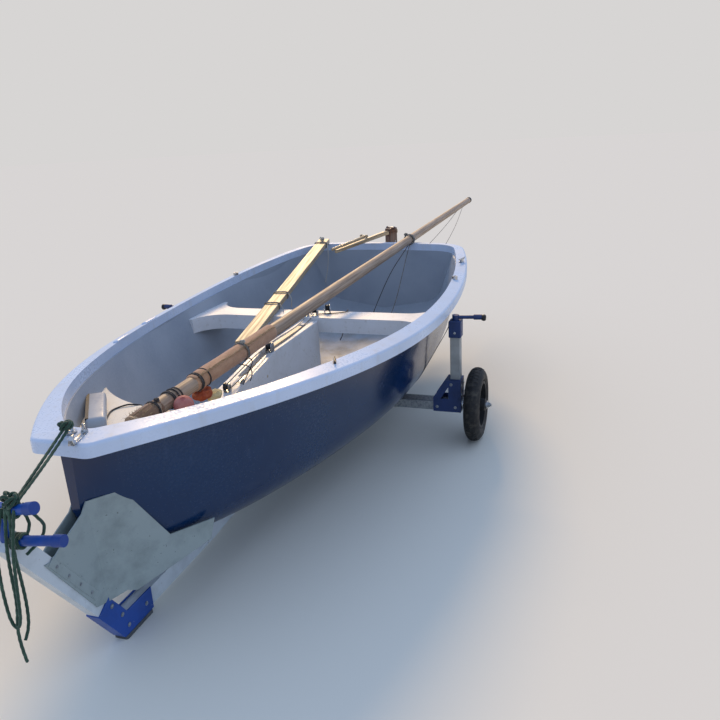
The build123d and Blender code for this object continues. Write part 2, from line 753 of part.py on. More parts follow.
# Bow cradle: a folded plate on each side of the tube, flared round the bow, with a pad inside.
knee_space = side_plate(knee_outline, 0, 2 * (spine_width / 2 + 2 * seat_gap + knee_plate))
for side, sign in (("port", 1), ("starboard", -1)):
    with BuildPart() as cradle_plate:
        add(side_plate(cheek_outline, sign * (cheek_outer - plate_thickness / 2), plate_thickness))
        add(cradle_slab(cradle_outline, sign, -plate_thickness, plate_thickness))
        add(knee_space, mode=Mode.SUBTRACT)
        add(hull_touch, mode=Mode.SUBTRACT)
    cradle_plate.part.label = f"cradle_plate_{side}"
    export_step(cradle_plate.part, f"parts/cradle_plate_{side}.step")
    with BuildPart() as bow_pad:
        add(cradle_slab(pad_outline, sign, -pad_depth, pad_depth - plate_thickness - seat_gap))
        add(hull_touch, mode=Mode.SUBTRACT)
    bow_pad.part.label = f"bow_pad_{side}"
    export_step(bow_pad.part, f"parts/bow_pad_{side}.step")

# Keel block on the spine.
with BuildPart() as keel_block:
    with Locations(at(keel_block_station, 0, 180)):
        Box(keel_block_length, keel_block_width, 140)
    add(side_plate([(0, 0)] + spine_top[:1] + spine_top[1:] + [(2000, 0)], 0, keel_block_width + 4), mode=Mode.SUBTRACT)
    add(hull_touch, mode=Mode.SUBTRACT)
keel_block.part.label = "keel_block"
export_step(keel_block.part, "parts/keel_block.step")

# Sling: a strap from post to post under the hull.
with BuildPart() as hull_sling:
    with BuildSketch(Plane.YZ.offset(bow_x - wheel_station - sling_width / 2)):
        for drop, mode in ((0.4 + sling_thickness, Mode.ADD), (0.4, Mode.SUBTRACT)):
            with BuildSketch(mode=mode):
                with BuildLine():
                    FilletPolyline(
                        (0, offsets[5][4] - drop),
                        (sling_corner[0] + 0.9 * drop, sling_corner[1] - drop),
                        (sling_head[0] + drop, sling_head[1]),
                        (sling_head[0] + drop, sling_top),
                        radius=[offsets[5][5] + drop, 30 + drop],
                    )
                    Line((sling_head[0] + drop, sling_top), (0, sling_top))
                    mirror(about=Plane.YZ)
                make_face()
    extrude(amount=sling_width)
    add(hull_touch, mode=Mode.SUBTRACT)
hull_sling.part.label = "hull_sling"
export_step(hull_sling.part, "parts/hull_sling.step")

# Wheel brackets, posts, cranks, axles and wheels, one set each side.
for side, sign in (("port", 1), ("starboard", -1)):
    outline = [(sign * y, z) for y, z in bracket_outline]
    window = [(sign * y, z) for y, z in bracket_window]
    outboard = Plane.XZ.offset(-sign * bracket_face)
    with BuildPart() as wheel_bracket:
        for fore in (1, -1):
            station = wheel_station + fore * (beam_length_x + bracket_plate + 2 * seat_gap) / 2
            add(cross_plate(outline, station, bracket_plate))
            add(cross_plate(window, station, bracket_plate + 2), mode=Mode.SUBTRACT)
        with Locations(at(wheel_station, sign * (bracket_face + 3), 237)):
            Box(beam_length_x + 2 * bracket_plate + 2 * seat_gap, 6, 170)
        with Locations(at(wheel_station, sign * 753, 313)):
            Box(beam_length_x + 2 * bracket_plate + 2 * seat_gap, 76, 18)
        with Locations(at(wheel_station, sign * post_centre, 313)):
            Box(post_size + 2 * seat_gap, post_size + 2 * seat_gap, 40, mode=Mode.SUBTRACT)
    wheel_bracket.part.label = f"wheel_bracket_{side}"
    export_step(wheel_bracket.part, f"parts/wheel_bracket_{side}.step")

    with BuildPart() as lift_post:
        with BuildSketch(Plane.XY.offset(beam_top)):
            with Locations((bow_x - wheel_station, sign * post_centre)):
                RectangleRounded(post_size, post_size, 4)
                RectangleRounded(post_size - 2 * post_wall, post_size - 2 * post_wall, 1, mode=Mode.SUBTRACT)
        extrude(amount=post_head - beam_top)
    lift_post.part.label = f"lift_post_{side}"
    export_step(lift_post.part, f"parts/lift_post_{side}.step")

    with BuildPart() as post_cap:
        with Locations(at(wheel_station, sign * post_centre, (cap_foot + cap_head) / 2)):
            Box(cap_size, cap_size, cap_head - cap_foot)
        fillet(post_cap.edges(), 5)
        with Locations(at(wheel_station, sign * post_centre, (cap_foot + post_head + seat_gap) / 2)):
            Box(post_size + 2 * seat_gap, post_size + 2 * seat_gap, post_head + seat_gap - cap_foot, mode=Mode.SUBTRACT)
    post_cap.part.label = f"post_cap_{side}"
    export_step(post_cap.part, f"parts/post_cap_{side}.step")

    crank_pivot = at(wheel_station, sign * post_centre, cap_head)
    crank_elbow = at(wheel_station, sign * post_centre, crank_height)
    crank_tip = at(wheel_station, sign * crank_reach, crank_height + 5)
    with BuildPart() as lift_crank:
        with Locations(crank_pivot + Vector(0, 0, 13)):
            Cylinder(17, 26)
        add(rod(crank_elbow, crank_tip, crank_radius))
        add(rod(crank_tip - Vector(0, sign * 40, 1.5), crank_tip, grip_radius))
    lift_crank.part.label = f"lift_crank_{side}"
    export_step(lift_crank.part, f"parts/lift_crank_{side}.step")

    axle_root = at(wheel_station, sign * (bracket_face + 6), tyre_radius)
    with BuildPart() as stub_axle:
        add(rod(axle_root, axle_root + Vector(0, sign * 8, 0), 30))
        add(rod(axle_root, at(wheel_station, sign * (wheel_track + hub_length / 2 + 14), tyre_radius), axle_radius))
        add(rod(
            at(wheel_station, sign * (wheel_track + hub_length / 2 + 6), tyre_radius),
            at(wheel_station, sign * (wheel_track + hub_length / 2 + 10), tyre_radius),
            22,
        ))
    stub_axle.part.label = f"stub_axle_{side}"
    export_step(stub_axle.part, f"parts/stub_axle_{side}.step")

    hub_inner = at(wheel_station, sign * (wheel_track - hub_length / 2), tyre_radius)
    hub_outer = at(wheel_station, sign * (wheel_track + hub_length / 2), tyre_radius)
    disc_inner = at(wheel_station, sign * (wheel_track - 8), tyre_radius)
    disc_outer = at(wheel_station, sign * (wheel_track + 8), tyre_radius)
    band_inner = at(wheel_station, sign * (wheel_track - 33), tyre_radius)
    band_outer = at(wheel_station, sign * (wheel_track + 33), tyre_radius)
    with BuildPart() as wheel_rim:
        add(rod(band_inner, band_outer, wheel_rim_radius))
        add(rod(band_inner, band_outer, wheel_rim_radius - 10), mode=Mode.SUBTRACT)
        add(rod(disc_inner, disc_outer, wheel_rim_radius - 5))
        with Locations(Plane(disc_inner, x_dir=(1, 0, 0), z_dir=disc_outer - disc_inner)):
            with PolarLocations(68, wheel_windows):
                Cylinder(window_radius, 60, mode=Mode.SUBTRACT)
        add(rod(hub_inner, hub_outer, hub_radius))
        add(rod(hub_inner, hub_outer, axle_radius + running_gap), mode=Mode.SUBTRACT)
    wheel_rim.part.label = f"wheel_rim_{side}"
    export_step(wheel_rim.part, f"parts/wheel_rim_{side}.step")

    inner = wheel_rim_radius + seat_gap
    half = tyre_width / 2
    with BuildPart() as tyre:
        with BuildSketch(Plane.YZ.offset(bow_x - wheel_station)):
            with BuildLine():
                Polyline(
                    (sign * wheel_track - half + 8, tyre_radius + inner),
                    (sign * wheel_track - half, tyre_radius + inner + 20),
                )
                ThreePointArc(
                    (sign * wheel_track - half, tyre_radius + inner + 20),
                    (sign * wheel_track, 2 * tyre_radius),
                    (sign * wheel_track + half, tyre_radius + inner + 20),
                )
                Polyline(
                    (sign * wheel_track + half, tyre_radius + inner + 20),
                    (sign * wheel_track + half - 8, tyre_radius + inner),
                    (sign * wheel_track - half + 8, tyre_radius + inner),
                )
            make_face()
        revolve(axis=Axis((bow_x - wheel_station, 0, tyre_radius), (0, 1, 0)))
    tyre.part.label = f"tyre_{side}"
    export_step(tyre.part, f"parts/tyre_{side}.step")

# Painter: a taut line to the handle and two hanging falls of rope.
painter_line = rod(at(*painter_taut[0]), at(*painter_taut[1]), rope_radius)
painter_line.label = "painter_line"
export_step(painter_line, "parts/painter_line.step")

painter_tail = rope(painter_tail_points)
painter_tail.label = "painter_tail"
export_step(painter_tail, "parts/painter_tail.step")

painter_bight = rope(painter_bight_points)
painter_bight.label = "painter_bight"
export_step(painter_bight, "parts/painter_bight.step")
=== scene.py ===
import math

import bmesh
import bpy
from mathutils import Matrix, Vector, noise


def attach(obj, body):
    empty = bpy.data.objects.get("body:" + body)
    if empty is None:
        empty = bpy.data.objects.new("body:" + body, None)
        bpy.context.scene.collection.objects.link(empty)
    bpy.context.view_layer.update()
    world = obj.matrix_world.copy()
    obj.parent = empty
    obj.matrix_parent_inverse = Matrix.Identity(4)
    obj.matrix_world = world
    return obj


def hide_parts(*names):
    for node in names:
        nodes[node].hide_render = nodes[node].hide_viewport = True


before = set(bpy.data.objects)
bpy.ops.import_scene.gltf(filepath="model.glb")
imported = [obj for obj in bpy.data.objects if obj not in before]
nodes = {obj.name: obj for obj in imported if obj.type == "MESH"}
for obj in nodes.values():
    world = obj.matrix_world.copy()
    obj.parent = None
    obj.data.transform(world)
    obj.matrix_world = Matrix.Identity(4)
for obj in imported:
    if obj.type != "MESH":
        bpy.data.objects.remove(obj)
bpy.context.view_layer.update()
bpy.ops.object.select_all(action="DESELECT")


# ---------------------------------------------------------------------------
# Camera. A phone held by somebody standing ahead of the bow and to port,
# looking down into the boat, tilted a few degrees to one side.
# ---------------------------------------------------------------------------
camera_place = Vector((3.785, 1.424, 1.553))
camera_yaw = math.radians(18.97)
camera_pitch = math.radians(17.89)
camera_roll = math.radians(2.89)

forward = Vector((
    -math.cos(camera_pitch) * math.cos(camera_yaw),
    -math.cos(camera_pitch) * math.sin(camera_yaw),
    -math.sin(camera_pitch),
))
level_right = Vector((-math.sin(camera_yaw), math.cos(camera_yaw), 0.0))
level_down = forward.cross(level_right)
picture_right = math.cos(camera_roll) * level_right + math.sin(camera_roll) * level_down
picture_down = -math.sin(camera_roll) * level_right + math.cos(camera_roll) * level_down
camera_data = bpy.data.cameras.new("camera")
camera_data.sensor_width = 36.0
camera_data.lens = 36.0
camera_data.clip_start = 0.05
camera = bpy.data.objects.new("camera", camera_data)
bpy.context.scene.collection.objects.link(camera)
camera.matrix_world = Matrix.Translation(camera_place) @ Matrix(
    (picture_right, -picture_down, -forward)).transposed().to_4x4()
bpy.context.scene.camera = camera


# ---------------------------------------------------------------------------
# Rope. Three strand cordage for the painter and the sheets, thin braid for the
# lashings: every run is a twisted tube on one smooth spline, so the lay shows.
# ---------------------------------------------------------------------------
def linear(colour):
    """Linear colour of an sRGB hex value."""
    parts = [int(colour[i:i + 2], 16) / 255 for i in (1, 3, 5)]
    return [p / 12.92 if p <= 0.04045 else ((p + 0.055) / 1.055) ** 2.4 for p in parts] + [1.0]


def start_finish(name, colour, roughness, **plain):
    """New material with plain values on its shader."""
    material = bpy.data.materials.new(name)
    material.use_nodes = True
    for socket, value in {"Base_Color": linear(colour), "Roughness": roughness, **plain}.items():
        material.node_tree.nodes["Principled BSDF"].inputs[socket.replace("_", " ")].default_value = value
    return material


def feed(material, output, socket):
    """Joins a node's output to a socket of the material's shader."""
    material.node_tree.links.new(output, material.node_tree.nodes["Principled BSDF"].inputs[socket])


def add(material, kind, settings=(), inputs=()):
    """Adds a node with its settings; an input takes a value, a hex colour or another node's output."""
    made = material.node_tree.nodes.new("ShaderNode" + kind)
    for name, value in dict(settings).items():
        setattr(made, name, value)
    for socket, value in dict(inputs).items():
        if isinstance(value, bpy.types.NodeSocket):
            material.node_tree.links.new(value, made.inputs[socket])
        else:
            made.inputs[socket].default_value = linear(value) if isinstance(value, str) else value
    return made


def coords(material, kind="Object"):
    """Where a point lies: Object in metres of the frame, UV in metres along a cord or cloth."""
    known = material.node_tree.nodes.get("Texture Coordinate")
    return (known or add(material, "TexCoord")).outputs[kind]


def multiply(material, first, second):
    return add(material, "Math", {"operation": "MULTIPLY"}, {0: first, 1: second}).outputs[0]


def spread(material, value, low, high, to_low=0.0, to_high=1.0):
    """Stretches one range of a value onto another, clamped."""
    return add(material, "MapRange", {}, {
        "Value": value, "From Min": low, "From Max": high, "To Min": to_low, "To Max": to_high,
    }).outputs["Result"]


def patches(material, size_mm, detail=3.0, rough=0.55, stretch=None, vector=None):
    """Noise with patches of a real size in millimetres, stretched along the axes if asked."""
    if vector is None:
        vector = coords(material)
    if stretch:
        vector = add(material, "VectorMath", {"operation": "MULTIPLY"}, {0: vector, 1: stretch}).outputs[0]
    return add(material, "TexNoise", {}, {
        "Vector": vector, "Scale": 1000.0 / size_mm, "Detail": detail, "Roughness": rough,
    }).outputs["Fac"]


def spots(material, size_mm, detail, rough, low, high, strength, stretch=None):
    """Mask of noise patches: nothing below low, strength above high."""
    return spread(material, patches(material, size_mm, detail, rough, stretch), low, high, 0.0, strength)


def blend_colours(material, factor, first, second):
    """Colour between two, by a factor; each is a hex value or an output."""
    return add(material, "Mix", {"data_type": "RGBA"}, {0: factor, 6: first, 7: second}).outputs[2]


def two_tone(material, factor, low, high, first, second):
    """Base colour that goes from the first to the second while the factor climbs from low to high."""
    feed(material, blend_colours(material, spread(material, factor, low, high), first, second), "Base Color")


def stain(material, mask, colour):
    """Lays a colour over what already feeds the base colour."""
    under = material.node_tree.nodes["Principled BSDF"].inputs["Base Color"].links[0].from_socket
    feed(material, blend_colours(material, mask, under, colour), "Base Color")


def relief(material, height, depth_mm, strength=1.0):
    bump = add(material, "Bump", {}, {"Height": height, "Distance": depth_mm / 1000, "Strength": strength})
    feed(material, bump.outputs["Normal"], "Normal")


def cordage(name, dark, light, fleck, lay_mm=7.0):
    """Rope finish: fibres across each strand, worn lighter on the crowns."""
    material = start_finish(name, dark, 0.82, Sheen_Weight=0.25, Sheen_Roughness=0.5)
    fibres = patches(material, 1000.0 / 2.2, 3.0, 0.5, (1000.0 / lay_mm, 9.0, 1.0), coords(material, "UV"))
    two_tone(material, fibres, 0.35, 0.68, dark, light)
    stain(material, spots(material, 30.0, 3.0, 0.55, 0.52, 0.72, 0.7), fleck)
    relief(material, fibres, 0.5, 0.7)
    return material


def at(station, port, height):
    """Point of the frame: metres aft of the bow, to port and up."""
    return Vector((2.3 - station, port, height))


def rope_route(points):
    """Points along the smooth spline of a rope's route."""
    curve = bpy.data.curves.new("route", "CURVE")
    curve.dimensions = "3D"
    curve.resolution_u = 10
    spline = curve.splines.new("NURBS")
    spline.points.add(len(points) - 1)
    for knot, point in zip(spline.points, points):
        knot.co = (point[0], point[1], point[2], 1.0)
    spline.order_u = 3
    spline.use_endpoint_u = True
    holder = bpy.data.objects.new("route", curve)
    mesh = bpy.data.meshes.new_from_object(holder)
    line = [v.co.copy() for v in mesh.vertices]
    bpy.data.objects.remove(holder)
    bpy.data.meshes.remove(mesh)
    return line


def bridge(mesh, rings, uv=None, closed=False, smooth=True):
    """Quads from each ring of points to the next, with end caps unless closed; uv places (row, column)."""
    layer = mesh.loops.layers.uv.new("UVMap") if uv else None
    around = len(rings[0])
    for row in range(len(rings) if closed else len(rings) - 1):
        first, second = rings[row], rings[(row + 1) % len(rings)]
        for k in range(around):
            n = (k + 1) % around
            face = mesh.faces.new((first[k], first[n], second[n], second[k]))
            face.smooth = smooth
            if uv:
                corners = ((row, k), (row, k + 1), (row + 1, k + 1), (row + 1, k))
                for loop, corner in zip(face.loops, corners):
                    loop[layer].uv = uv(*corner)
    if not closed:
        mesh.faces.new(rings[0][::-1])
        mesh.faces.new(rings[-1])


def mesh_piece(name, mesh, material):
    """Turns a finished mesh into a piece of the boat and trolley."""
    data = bpy.data.meshes.new(name)
    mesh.to_mesh(data)
    mesh.free()
    data.materials.append(material)
    piece = bpy.data.objects.new(name, data)
    bpy.context.scene.collection.objects.link(piece)
    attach(piece, "boat_and_trolley")
    return piece


def lay_rope(name, points, radius, material, strands=3):
    """Twisted rope along a route, one turn in 14 radii; gives the piece, its line and its length."""
    raw = rope_route(points)
    length = sum((b - a).length for a, b in zip(raw, raw[1:]))
    steps = max(6, int(length / max(0.9 * radius, 0.0016)))
    line, index, done = [], 0, 0.0
    for i in range(steps + 1):
        want = length * i / steps
        while index < len(raw) - 2 and done + (raw[index + 1] - raw[index]).length < want:
            done += (raw[index + 1] - raw[index]).length
            index += 1
        run = (raw[index + 1] - raw[index]).length
        line.append(raw[index].lerp(raw[index + 1], min(1.0, (want - done) / max(run, 1e-9))))
    facets = 12
    side = (line[1] - line[0]).orthogonal().normalized()
    mesh = bmesh.new()
    rings = []
    for i, point in enumerate(line):
        along = (line[min(i + 1, steps)] - line[max(i - 1, 0)]).normalized()
        side = (side - along * side.dot(along)).normalized()
        other = along.cross(side)
        twist = math.tau * (length * i / steps) / (14.0 * radius)
        ring = []
        for k in range(facets):
            angle = math.tau * k / facets
            lobe = 0.80 + 0.22 * abs(math.cos(strands * (angle - twist) / 2)) if strands else 1.0
            reach = radius * lobe
            turned = side * math.cos(angle) * reach + other * math.sin(angle) * reach
            ring.append(mesh.verts.new(point + turned))
        rings.append(ring)
    bridge(mesh, rings, lambda row, column: (length * row / steps, column / facets))
    return mesh_piece(name, mesh, material), line, length


def free_rope(name, points, radius, material, strands=3):
    """A rope that hangs free or taut between its ends."""
    piece, line, length = lay_rope(name, points, radius, material, strands)
    return piece


green_cordage = cordage("green polypropylene rope", "#11261c", "#2b5640", "#4b6a55")
grey_cordage = cordage("weathered grey line", "#4d4944", "#8b857b", "#a9a399", 5.0)
tarred_twine = cordage("dark waxed twine", "#1d1a18", "#3d3733", "#57504a", 3.0)
pale_cordage = cordage("pale polyester sheet", "#8f8a80", "#cfc9bb", "#b4ac9b", 5.0)
shock_cord = cordage("black shock cord", "#151516", "#2a2a2c", "#3a3a3c", 3.0)


# ---------------------------------------------------------------------------
# Painter. One green three strand rope: made fast at the bow eye, doubled down to
# the handle, wound round the grip bars, and the rest left hanging in bights.
# ---------------------------------------------------------------------------
painter_radius = 0.0045
painter_start = at(0.039, 0.009, 0.789)
painter_end = at(-0.241, 0.062, 0.701)
painter_runs = {
    "painter_line_rope": ([
        painter_start, painter_start.lerp(painter_end, 0.5) + Vector((0, 0, -0.001)), painter_end,
    ], "object", "taut"),
    "painter_tail_rope": ([
        at(-0.2563, 0.046, 0.690), at(-0.282, 0.052, 0.610), at(-0.282, 0.046, 0.520),
        at(-0.290, 0.054, 0.430), at(-0.304, 0.044, 0.345), at(-0.298, 0.052, 0.262),
    ], "bare", "hanging"),
    "painter_bight_rope": ([
        at(-0.2234, 0.070, 0.690), at(-0.200, 0.084, 0.640), at(-0.172, 0.078, 0.600),
        at(-0.182, 0.062, 0.556), at(-0.226, 0.050, 0.540),
    ], "object", "hanging"),
    "painter_second_rope": ([
        painter_start + Vector((0.002, 0.010, -0.006)),
        painter_start.lerp(painter_end, 0.45) + Vector((0.0, 0.009, -0.012)),
        painter_end + Vector((0.006, 0.011, 0.002)),
    ], "object", "taut"),
    "painter_inner_fall": ([
        at(-0.2563, 0.058, 0.690), at(-0.276, 0.064, 0.600), at(-0.268, 0.060, 0.500),
        at(-0.262, 0.054, 0.410), at(-0.268, 0.050, 0.340), at(-0.284, 0.046, 0.318),
    ], "bare", "hanging"),
    "painter_loop_fall": ([
        at(-0.2563, 0.034, 0.690), at(-0.292, 0.028, 0.600), at(-0.300, 0.026, 0.500),
        at(-0.301, 0.028, 0.430),
        at(-0.301, 0.032, 0.386), at(-0.300, 0.047, 0.362), at(-0.299, 0.062, 0.388),
        at(-0.297, 0.066, 0.432),
        at(-0.290, 0.067, 0.510), at(-0.284, 0.072, 0.600), at(-0.2563, 0.074, 0.690),
    ], "object", "hanging"),
    "painter_short_fall": ([
        at(-0.2234, 0.050, 0.690), at(-0.200, 0.052, 0.640), at(-0.196, 0.050, 0.600),
        at(-0.214, 0.046, 0.585),
    ], "object", "hanging"),
}
for name, (points, far_end, hang) in painter_runs.items():
    run = free_rope(name, points, painter_radius, green_cordage)
    if name.removesuffix("_rope") in nodes:
        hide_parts(name.removesuffix("_rope"))


def wind(name, start, way, reach, turns, pitch, radius, material, wobble):
    """Rope wound round a bar or a spar, each turn beside the last."""
    side = way.orthogonal().normalized()
    other = way.cross(side)
    points = []
    for i in range(turns * 8 + 1):
        angle = math.tau * i / 8
        slack = 1.0 + wobble * noise.noise(Vector((i * 0.7, turns, reach * 90)))
        out = (side * math.cos(angle) + other * math.sin(angle)) * reach * 1.06 * slack
        points.append(start + way * (pitch * i / 8) + out)
    lay_rope(name, points, radius, material)


# Noise vectors start from the clock unless they are given a seed, and with one the
# knots and the loose threads of the cloth come out the same on every run.
noise_seed = 1795700872
noise.seed_set(noise_seed)


def knot(name, centre, size, radius, material, seed):
    """Bulky hand-tied knot: one rope that crosses itself in three tucks."""
    points = []
    for i in range(27):
        angle = math.tau * i * 3 / 26
        drift = noise.noise_vector(Vector((seed, i * 0.45, 0.0))) * size * 0.35
        wide = size * (0.62 + 0.25 * math.cos(angle * 5 / 3))
        points.append(centre + Vector((
            math.cos(angle) * wide, math.sin(angle) * wide, math.sin(angle * 5 / 3) * size * 0.62)) + drift)
    lay_rope(name, points, radius, material)


for label, root, tip, first in (("high", at(-0.234, 0.0, 0.664), at(-0.250, 0.130, 0.700), 0.030),
                                ("low", at(-0.228, 0.0, 0.575), at(-0.218, 0.170, 0.594), 0.014)):
    way = (tip - root).normalized()
    wind(f"painter_turns_{label}", root + way * first, way, 0.014 + painter_radius, 4, 0.0096,
         painter_radius, green_cordage, 0.10)
for label, place, size in (("bow", painter_start + Vector((0.006, 0.004, 0.004)), 0.021),
                           ("handle", painter_end + Vector((0.004, -0.004, 0.010)), 0.024)):
    knot(f"painter_knot_{label}", place, size, painter_radius, green_cordage, len(label))


# ---------------------------------------------------------------------------
# Studio. A plain pale floor in a pale room, lit softly and a little cool all
# round, and one broad warm sun low behind the boat, as it stood that evening.
# ---------------------------------------------------------------------------
bpy.ops.mesh.primitive_circle_add(vertices=96, radius=60.0, fill_type="NGON", location=(0, 0, 0))
floor = bpy.context.object
floor.name = "floor"
floor.data.materials.append(start_finish("pale floor", "#e6e3d6", 0.9, Specular_IOR_Level=0.0))

bpy.context.scene.view_settings.view_transform = "Standard"
room = bpy.data.worlds.new("room")
bpy.context.scene.world = room
room.use_nodes = True
room.node_tree.nodes.clear()
rays = add(room, "LightPath").outputs
seen = add(room, "Math", {"operation": "MAXIMUM"}, {0: rays["Is Camera Ray"], 1: rays["Is Transmission Ray"]})
lit = add(room, "Background", {}, {"Color": "#b9cdf0", "Strength": 0.98})
shown = add(room, "Background", {}, {"Color": "#d7d5d4", "Strength": 1.0})
either = add(room, "MixShader", {}, {0: seen.outputs[0], 1: lit.outputs[0], 2: shown.outputs[0]})
add(room, "OutputWorld", {}, {"Surface": either.outputs[0]})

sun_data = bpy.data.lights.new("low_sun", "SUN")
sun_data.energy = 2.3
sun_data.angle = math.radians(16.0)
sun_data.color = linear("#ffd79c")[:3]
low_sun = bpy.data.objects.new("low_sun", sun_data)
bpy.context.scene.collection.objects.link(low_sun)
low_sun.rotation_mode = "QUATERNION"
low_sun.rotation_quaternion = Vector((0.80, 0.36, -0.56)).to_track_quat("-Z", "Y")


# ---------------------------------------------------------------------------
# Hull. Glass laminate sprayed with dark blue gelcoat in the mould: a hard gloss
# with a faint ripple, chalky scuffs low down where it meets sand and trolley.
# ---------------------------------------------------------------------------
def moulded(name, colour, faded, patch_mm, gloss, ripple_mm=160.0, coat=0.0):
    """Gelcoat: slow patches of colour, gloss broken by fine dust, and the ripple of the mould."""
    material = start_finish(name, colour, gloss, IOR=1.5, Coat_Weight=coat, Coat_Roughness=0.05)
    slow = patches(material, patch_mm, 4.0)
    two_tone(material, slow, 0.42, 0.72, colour, faded)
    dusty = multiply(material, slow, patches(material, 9.0))
    feed(material, spread(material, dusty, 0.15, 0.40, gloss * 0.75, gloss * 1.9), "Roughness")
    relief(material, patches(material, ripple_mm, 2.0), 1.2, 0.35)
    return material


def between(material, axis, low, high, to_low=0.0, to_high=1.0):
    """Mask that follows the place along one axis of the frame."""
    place = add(material, "SeparateXYZ", {}, {0: coords(material)}).outputs[axis]
    return spread(material, place, low, high, to_low, to_high)


def dress(material, *names):
    """Gives CAD nodes their material."""
    for name in names:
        for material_slot in nodes[name].material_slots:
            material_slot.material = material


navy = moulded("navy gelcoat", "#03244b", "#0a3056", 420.0, 0.17, 260.0, 0.1)
scuffs = spots(navy, 40.0, 5.0, 0.65, 0.56, 0.74, 0.55, (0.25, 1.0, 1.0))
stain(navy, multiply(navy, between(navy, "Z", 0.42, 0.24), scuffs), "#4c5a72")
stain(navy, spots(navy, 22.0, 2.0, 0.5, 0.62, 0.80, 0.10, (1.0, 1.0, 0.06)), "#5a6b8c")
dress(navy, "hull_shell")


# ---------------------------------------------------------------------------
# Gunwale rim. A white hat section moulding glued over the sheer: satin from the
# weather, a grey drip edge below, rust freckles round the fittings screwed to it.
# Its white is tinted blue with painted sky light, the cool cast of its shaded side.
# ---------------------------------------------------------------------------
# Painted sky light: a blue tint in the white gelcoat's colour stands in for the cool sky light on the rim's
# shaded side.
sky_tinted_rim_white = moulded("white gelcoat with painted sky tint", "#c9d7eb", "#bccadd", 300.0, 0.30)
stain(sky_tinted_rim_white, spots(sky_tinted_rim_white, 14.0, 2.0, 0.4, 0.74, 0.82, 0.20), "#9a978d")
stain(sky_tinted_rim_white, spots(sky_tinted_rim_white, 45.0, 4.0, 0.6, 0.56, 0.76, 0.35, (1.0, 1.0, 0.25)), "#b7b4aa")
dress(sky_tinted_rim_white, "gunwale_rim")


# ---------------------------------------------------------------------------
# Cockpit liner, thwart, case and bow seat. Pale inner mouldings, walked on and
# sat on: duller gloss, brown silt on the sole and along the foot of each wall.
# ---------------------------------------------------------------------------
liner_grey = moulded("grey inner gelcoat", "#9fa8b2", "#8e98a5", 380.0, 0.42)
silt = spots(liner_grey, 90.0, 6.0, 0.62, 0.42, 0.68, 0.8)
stain(liner_grey, multiply(liner_grey, between(liner_grey, "Z", 0.36, 0.25), silt), "#857d6d")
stain(liner_grey, spots(liner_grey, 18.0, 3.0, 0.5, 0.68, 0.78, 0.35, (0.2, 1.0, 1.0)), "#7d828c")
dress(liner_grey, "cockpit_liner")
thwart_white = moulded("thwart gelcoat", "#dcdfe3", "#cfd1d2", 200.0, 0.34)
stain(thwart_white, spots(thwart_white, 26.0, 5.0, 0.62, 0.58, 0.76, 0.5), "#a39d8f")
dress(thwart_white, "centre_thwart", "centreboard_case")
# Painted sunlight: the seat's cream tint stands in for the warm low sun on its top; the brown sand spots are
# dirt.
sun_tinted_cream = moulded("cream gelcoat", "#ded9cd", "#d0c8b8", 240.0, 0.36)
sand = spots(sun_tinted_cream, 12.0, 5.0, 0.68, 0.60, 0.76, 0.65)
stain(sun_tinted_cream, multiply(sun_tinted_cream, sand, between(sun_tinted_cream, "X", 1.60, 1.75, 1.0, 0.25)), "#8f7a58")
dress(sun_tinted_cream, "bow_seat")


# ---------------------------------------------------------------------------
# Spars. A grey weathered spruce mast with silvered grain, a paler boom board and
# tiller, and a dark varnished rudder head with its blade kicked up behind.
# ---------------------------------------------------------------------------
def timber(name, axis, pale, dark, gloss, ring_mm=9.0, coat=0.0):
    """Wood with its grain along an axis: rings stretched along the piece, fine pores and dark streaks."""
    material = start_finish(name, pale, gloss, IOR=1.5, Coat_Weight=coat, Coat_Roughness=0.12)
    turned = Vector(axis).normalized().rotation_difference(Vector((0, 0, 1))).to_euler()
    lined = add(material, "Mapping", {}, {"Vector": coords(material), "Rotation": turned}).outputs[0]
    rings = patches(material, ring_mm, 4.0, 0.6, (1.0, 1.0, 0.035), lined)
    pores = patches(material, 2.2, 3.0, 0.6, (1.0, 1.0, 0.03), lined)
    slow = patches(material, 120.0, 3.0, 0.5, (1.0, 1.0, 0.35), lined)
    two_tone(material, rings, 0.38, 0.64, pale, dark)
    stain(material, spread(material, pores, 0.60, 0.75, 0.0, 0.45), dark)
    stain(material, spread(material, slow, 0.55, 0.75, 0.0, 0.35), dark)
    feed(material, spread(material, rings, 0.3, 0.7, gloss * 0.85, min(1.0, gloss * 1.25)), "Roughness")
    relief(material, pores, 0.25, 0.6)
    return material


mast_heel = at(0.360, -0.020, 0.6533)
mast_rest = at(3.235, 0.199, 0.8196)
mast_way = (mast_rest - mast_heel).normalized()
boom_aft = at(3.250, -0.424, 0.805)
boom_fore = at(1.480, -0.188, 0.5886)
boom_way = (boom_fore - boom_aft).normalized()
rudder_angle = math.radians(20.9)
tiller_way = Vector((math.cos(rudder_angle), -math.sin(rudder_angle), -0.08))
dress(timber("weathered spruce", mast_way, "#b59d84", "#8d7660", 0.52), "mast")
dress(timber("pale boom board", boom_way, "#c2b193", "#928064", 0.45, 12.0), "boom")
dress(timber("pale ash", tiller_way, "#cdb48c", "#8f7350", 0.38, 7.0, 0.3), "tiller", "tiller_extension")
dress(timber("varnished hardwood", (0, 0, 1), "#6e4a38", "#3f281d", 0.25, 8.0, 0.5), "rudder_stock")
dress(timber("varnished blade", (1, 0.38, 0), "#7a553c", "#4a3022", 0.24, 11.0, 0.5), "rudder_blade")
dress(timber("pale centreboard", (1, 0, 0), "#cfc3ab", "#9c8b70", 0.4, 10.0), "centreboard")


